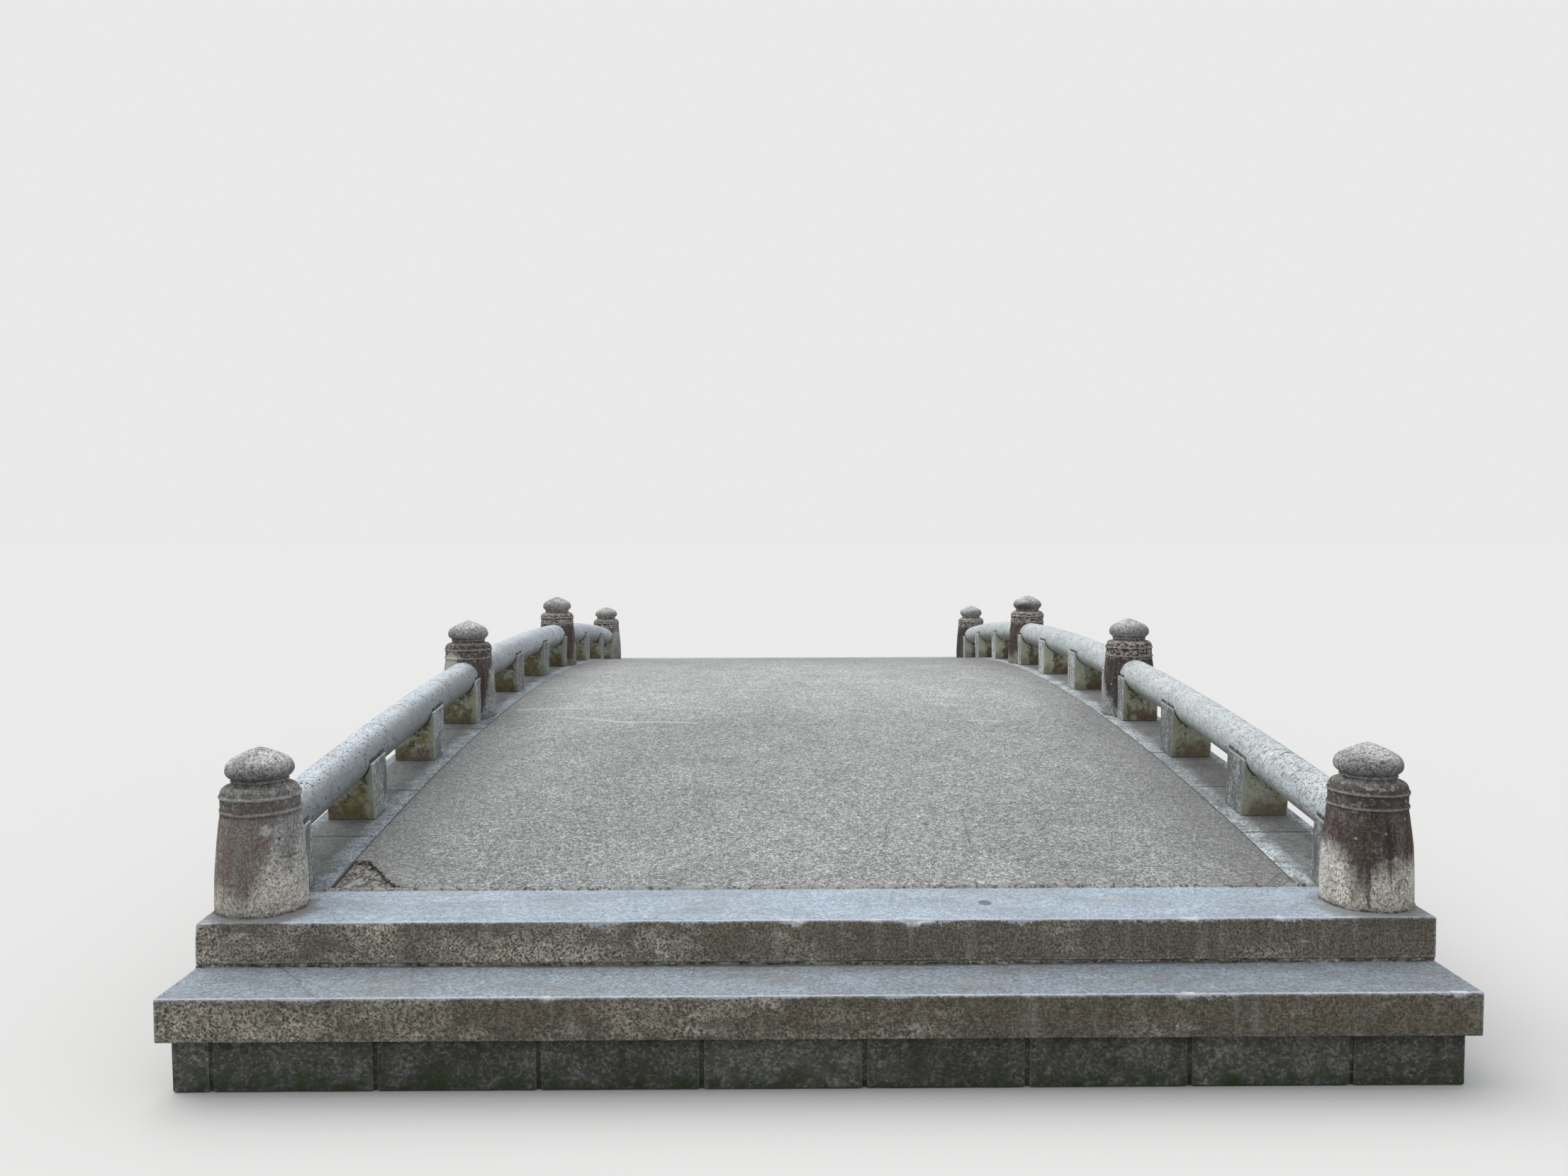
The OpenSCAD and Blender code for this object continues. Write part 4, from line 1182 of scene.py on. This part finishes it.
round_rail, given = new_group("Round rail", "Geometry", dict(
    row=0.0, near_newel=0.0, far_newel=0.0, near_step=0.0, far_step=0.0, radius=0.090, height=0.260,
    unevenness=0.0025, seed=0.0, stone="Material"), dict(geometry="Geometry"))
bar = node("GeometryNodeMeshCylinder", {"Vertices": 96, "Side Segments": 110, "Fill Segments": 1, "Radius": 1,
                                        "Depth": 2}, fill_type="TRIANGLE_FAN")
row = row_of(bar, 1)
round_x, round_up, along = parts_of(stored("unit", "FLOAT_VECTOR"))
share = along * -0.5 + 0.5
roughly = share * (given.far_newel - given.near_newel) + given.near_newel
seeded = vector_of(round_x * 0.1 + given.seed, roughly, round_up * 0.1)
ring = given.radius - cloud(seeded, 6, 5, 0.55) * given.unevenness
beside, over = round_x * ring, round_up * ring + given.height
near_face = given.near_newel + use(newel_face, beside=beside, height=over - given.near_step)
far_face = given.far_newel - use(newel_face, beside=beside, height=over - given.far_step)
foreshorten = arch_radius / (over + arch_radius)
start, stop = near_face * foreshorten, far_face * foreshorten
flat = vector_of(beside + given.row, share * (stop - start) + start, over)
row = store(row, wear=0.0, rise=share, face=vector_of(round_x, 0, round_up))
end_row(row, use(on_arch, flat=flat), given.stone)

rail_stone = new_stone("rail granite")
place = on_object()
x, y = parts_of(place)[:2]
aside, ahead, up = facing()
colour, grains = use(granite, grain=0.0065, body=(0.66, 0.69, 0.695), dark_grain=(0.21, 0.22, 0.23),
                     pale_grain=(0.77, 0.79, 0.79), speckle=between(y, -4.2, -2.4, 0.75, 0.45), mottle=0.07,
                     clouding=0.5)
stained = between(cloud(place, 15, 6, 0.75), 0.50, 0.62)
on_side = between(up, 0.95, 0, 0.20, 0.70) * between(x, -0.5, 0.5, 1, 0.45)
colour = lay_over(colour, stained * on_side, (0.38, 0.37, 0.35))
shaded = between(aside, 0.3, 0.95) * between(x, 0.5, -0.5) * between(y, -2.4, 1.2, 0.76, 0.10)
colour = lay_over(colour, shaded, (0.26, 0.265, 0.265))
under = between(cloud(place, 14, 4, 0.6) * 0.5 + up, 0.30, -0.35)
colour = lay_over(colour, under * 0.65, (0.21, 0.20, 0.165))
pitted = use(lichen, spot=0.010, cover=0.65) * between(x, -0.5, 0.5, 0.95, 0.60)
colour = lay_over(colour, pitted, (0.075, 0.075, 0.08))
swayed = place + node("ShaderNodeTexNoise", {"Vector": place, "Scale": 14}, out="Color") * 0.10
crazed = node("ShaderNodeTexVoronoi", {"Vector": swayed, "Scale": 13}, "Distance", feature="DISTANCE_TO_EDGE")
crazed = between(crazed, 0.050, 0.015) * between(cloud(place, 5, 3), 0.44, 0.60)
colour = lay_over(colour, crazed * 0.5, (0.20, 0.20, 0.20))
rail_cracks = [(-1, -2.26, 0.25, 0.20), (-1, -2.90, 0.5, 0.06), (-1, -3.30, -0.4, 0.05),
               (-1, -3.62, 0.6, 0.05), (1, -3.84, -0.3, 0.07), (1, -3.79, 0.5, 0.05), (1, -3.10, 0.4, 0.05),
               (-1, 0.62, 0.1, 0.10)]
crack_rise = 0.29
for sign, crack_y, tilt, half_long in rail_cracks:
    centre = (sign * row_x, crack_y, surface_at(crack_y) + crack_rise)
    lean = calc("DOT_PRODUCT", place - centre, (tilt, 1, 0.15)) + (cloud(place, 26, 4, 0.6) * 0.06 - 0.03)
    part_way = use(spot, centre=centre, size=(half_long, 0.09, 0.12), ragged=0.6)
    colour = lay_over(colour, between(abs(lean), 0.007, 0.003) * part_way * 0.8, (0.10, 0.10, 0.095))
# Painted shade in the gaps: a dark line along the rail's sides where they leave the lips of its blocks, and
# round its ends
from_mid = abs(mark("rise") - 0.5)
in_block = calc("MAXIMUM", between(abs(from_mid - 0.176), 0.039, 0.035), between(from_mid, 0.463, 0.467))
at_lip = between(abs(up + 0.01), 0.12, 0.06)
gap_shade = calc("MAXIMUM", at_lip * in_block, between(from_mid, 0.4950, 0.4980))
gap_shade = gap_shade * between(cloud(place, 30, 3), 0.35, 0.55, 0.5, 0.9)
colour = lay_over(colour, gap_shade, (0.06, 0.055, 0.05))
colour = colour * lay_over((1.03, 1.06, 1.10), between(x, -0.5, 0.5), (1.0, 1.02, 1.01))
finish_stone(colour, grains, 0.002, 0.75)
fill_bays(round_rail, "round_rail", "rail_stone", "rail", 5.0, 2.0, rail_stone)

# Floor and light
# A plain pale floor at the water line under a soft bright ceiling, with a wide lamp above and behind the
# bridge. The floor looks pale to the eye but throws little light back at the stone.


def looked_at():
    """Where a colour is looked at, and not only throws its light."""
    seen = node("ShaderNodeLightPath").socket.node.outputs
    camera, glossy, through = (Value(seen[f"Is {kind} Ray"]) for kind in ("Camera", "Glossy", "Transmission"))
    return calc("MAXIMUM", camera, calc("MAXIMUM", glossy, through))


floor_half = 300.0
floor_cover = new_stone("pale floor")
surface = Value.tree.nodes["Principled BSDF"].inputs
give(surface["Base Color"], lay_over((0.16, 0.16, 0.155), looked_at(), (0.785, 0.768, 0.735)))
surface["Roughness"].default_value = 1.0
surface["Specular IOR Level"].default_value = 0.0
corners = [(-floor_half, -floor_half, 0), (floor_half, -floor_half, 0), (floor_half, floor_half, 0),
           (-floor_half, floor_half, 0)]
new_object("floor", new_mesh("floor", corners, [(0, 1, 2, 3)], floor_cover))

world = bpy.data.worlds.new("studio")
world.use_nodes = True
bpy.context.scene.world = world
Value.tree = world.node_tree
up = parts_of(node("ShaderNodeTexCoord", out="Generated"))[2]
ceiling = lay_over((0.26, 0.27, 0.28), between(up, 0, 0.9), (0.80, 0.83, 0.88))
give(world.node_tree.nodes["Background"].inputs["Color"], lay_over(ceiling, looked_at(), (0.82, 0.82, 0.82)))

lamp = bpy.data.lights.new("wide lamp", "SUN")
lamp.energy = 1.4
lamp.angle = math.radians(60)
lamp_object = new_object("wide lamp", lamp)
lamp_object.matrix_world = Vector((-0.42, 0.30, 0.85)).to_track_quat("Z", "Y").to_matrix().to_4x4()

bpy.context.scene.view_settings.view_transform = "Standard"
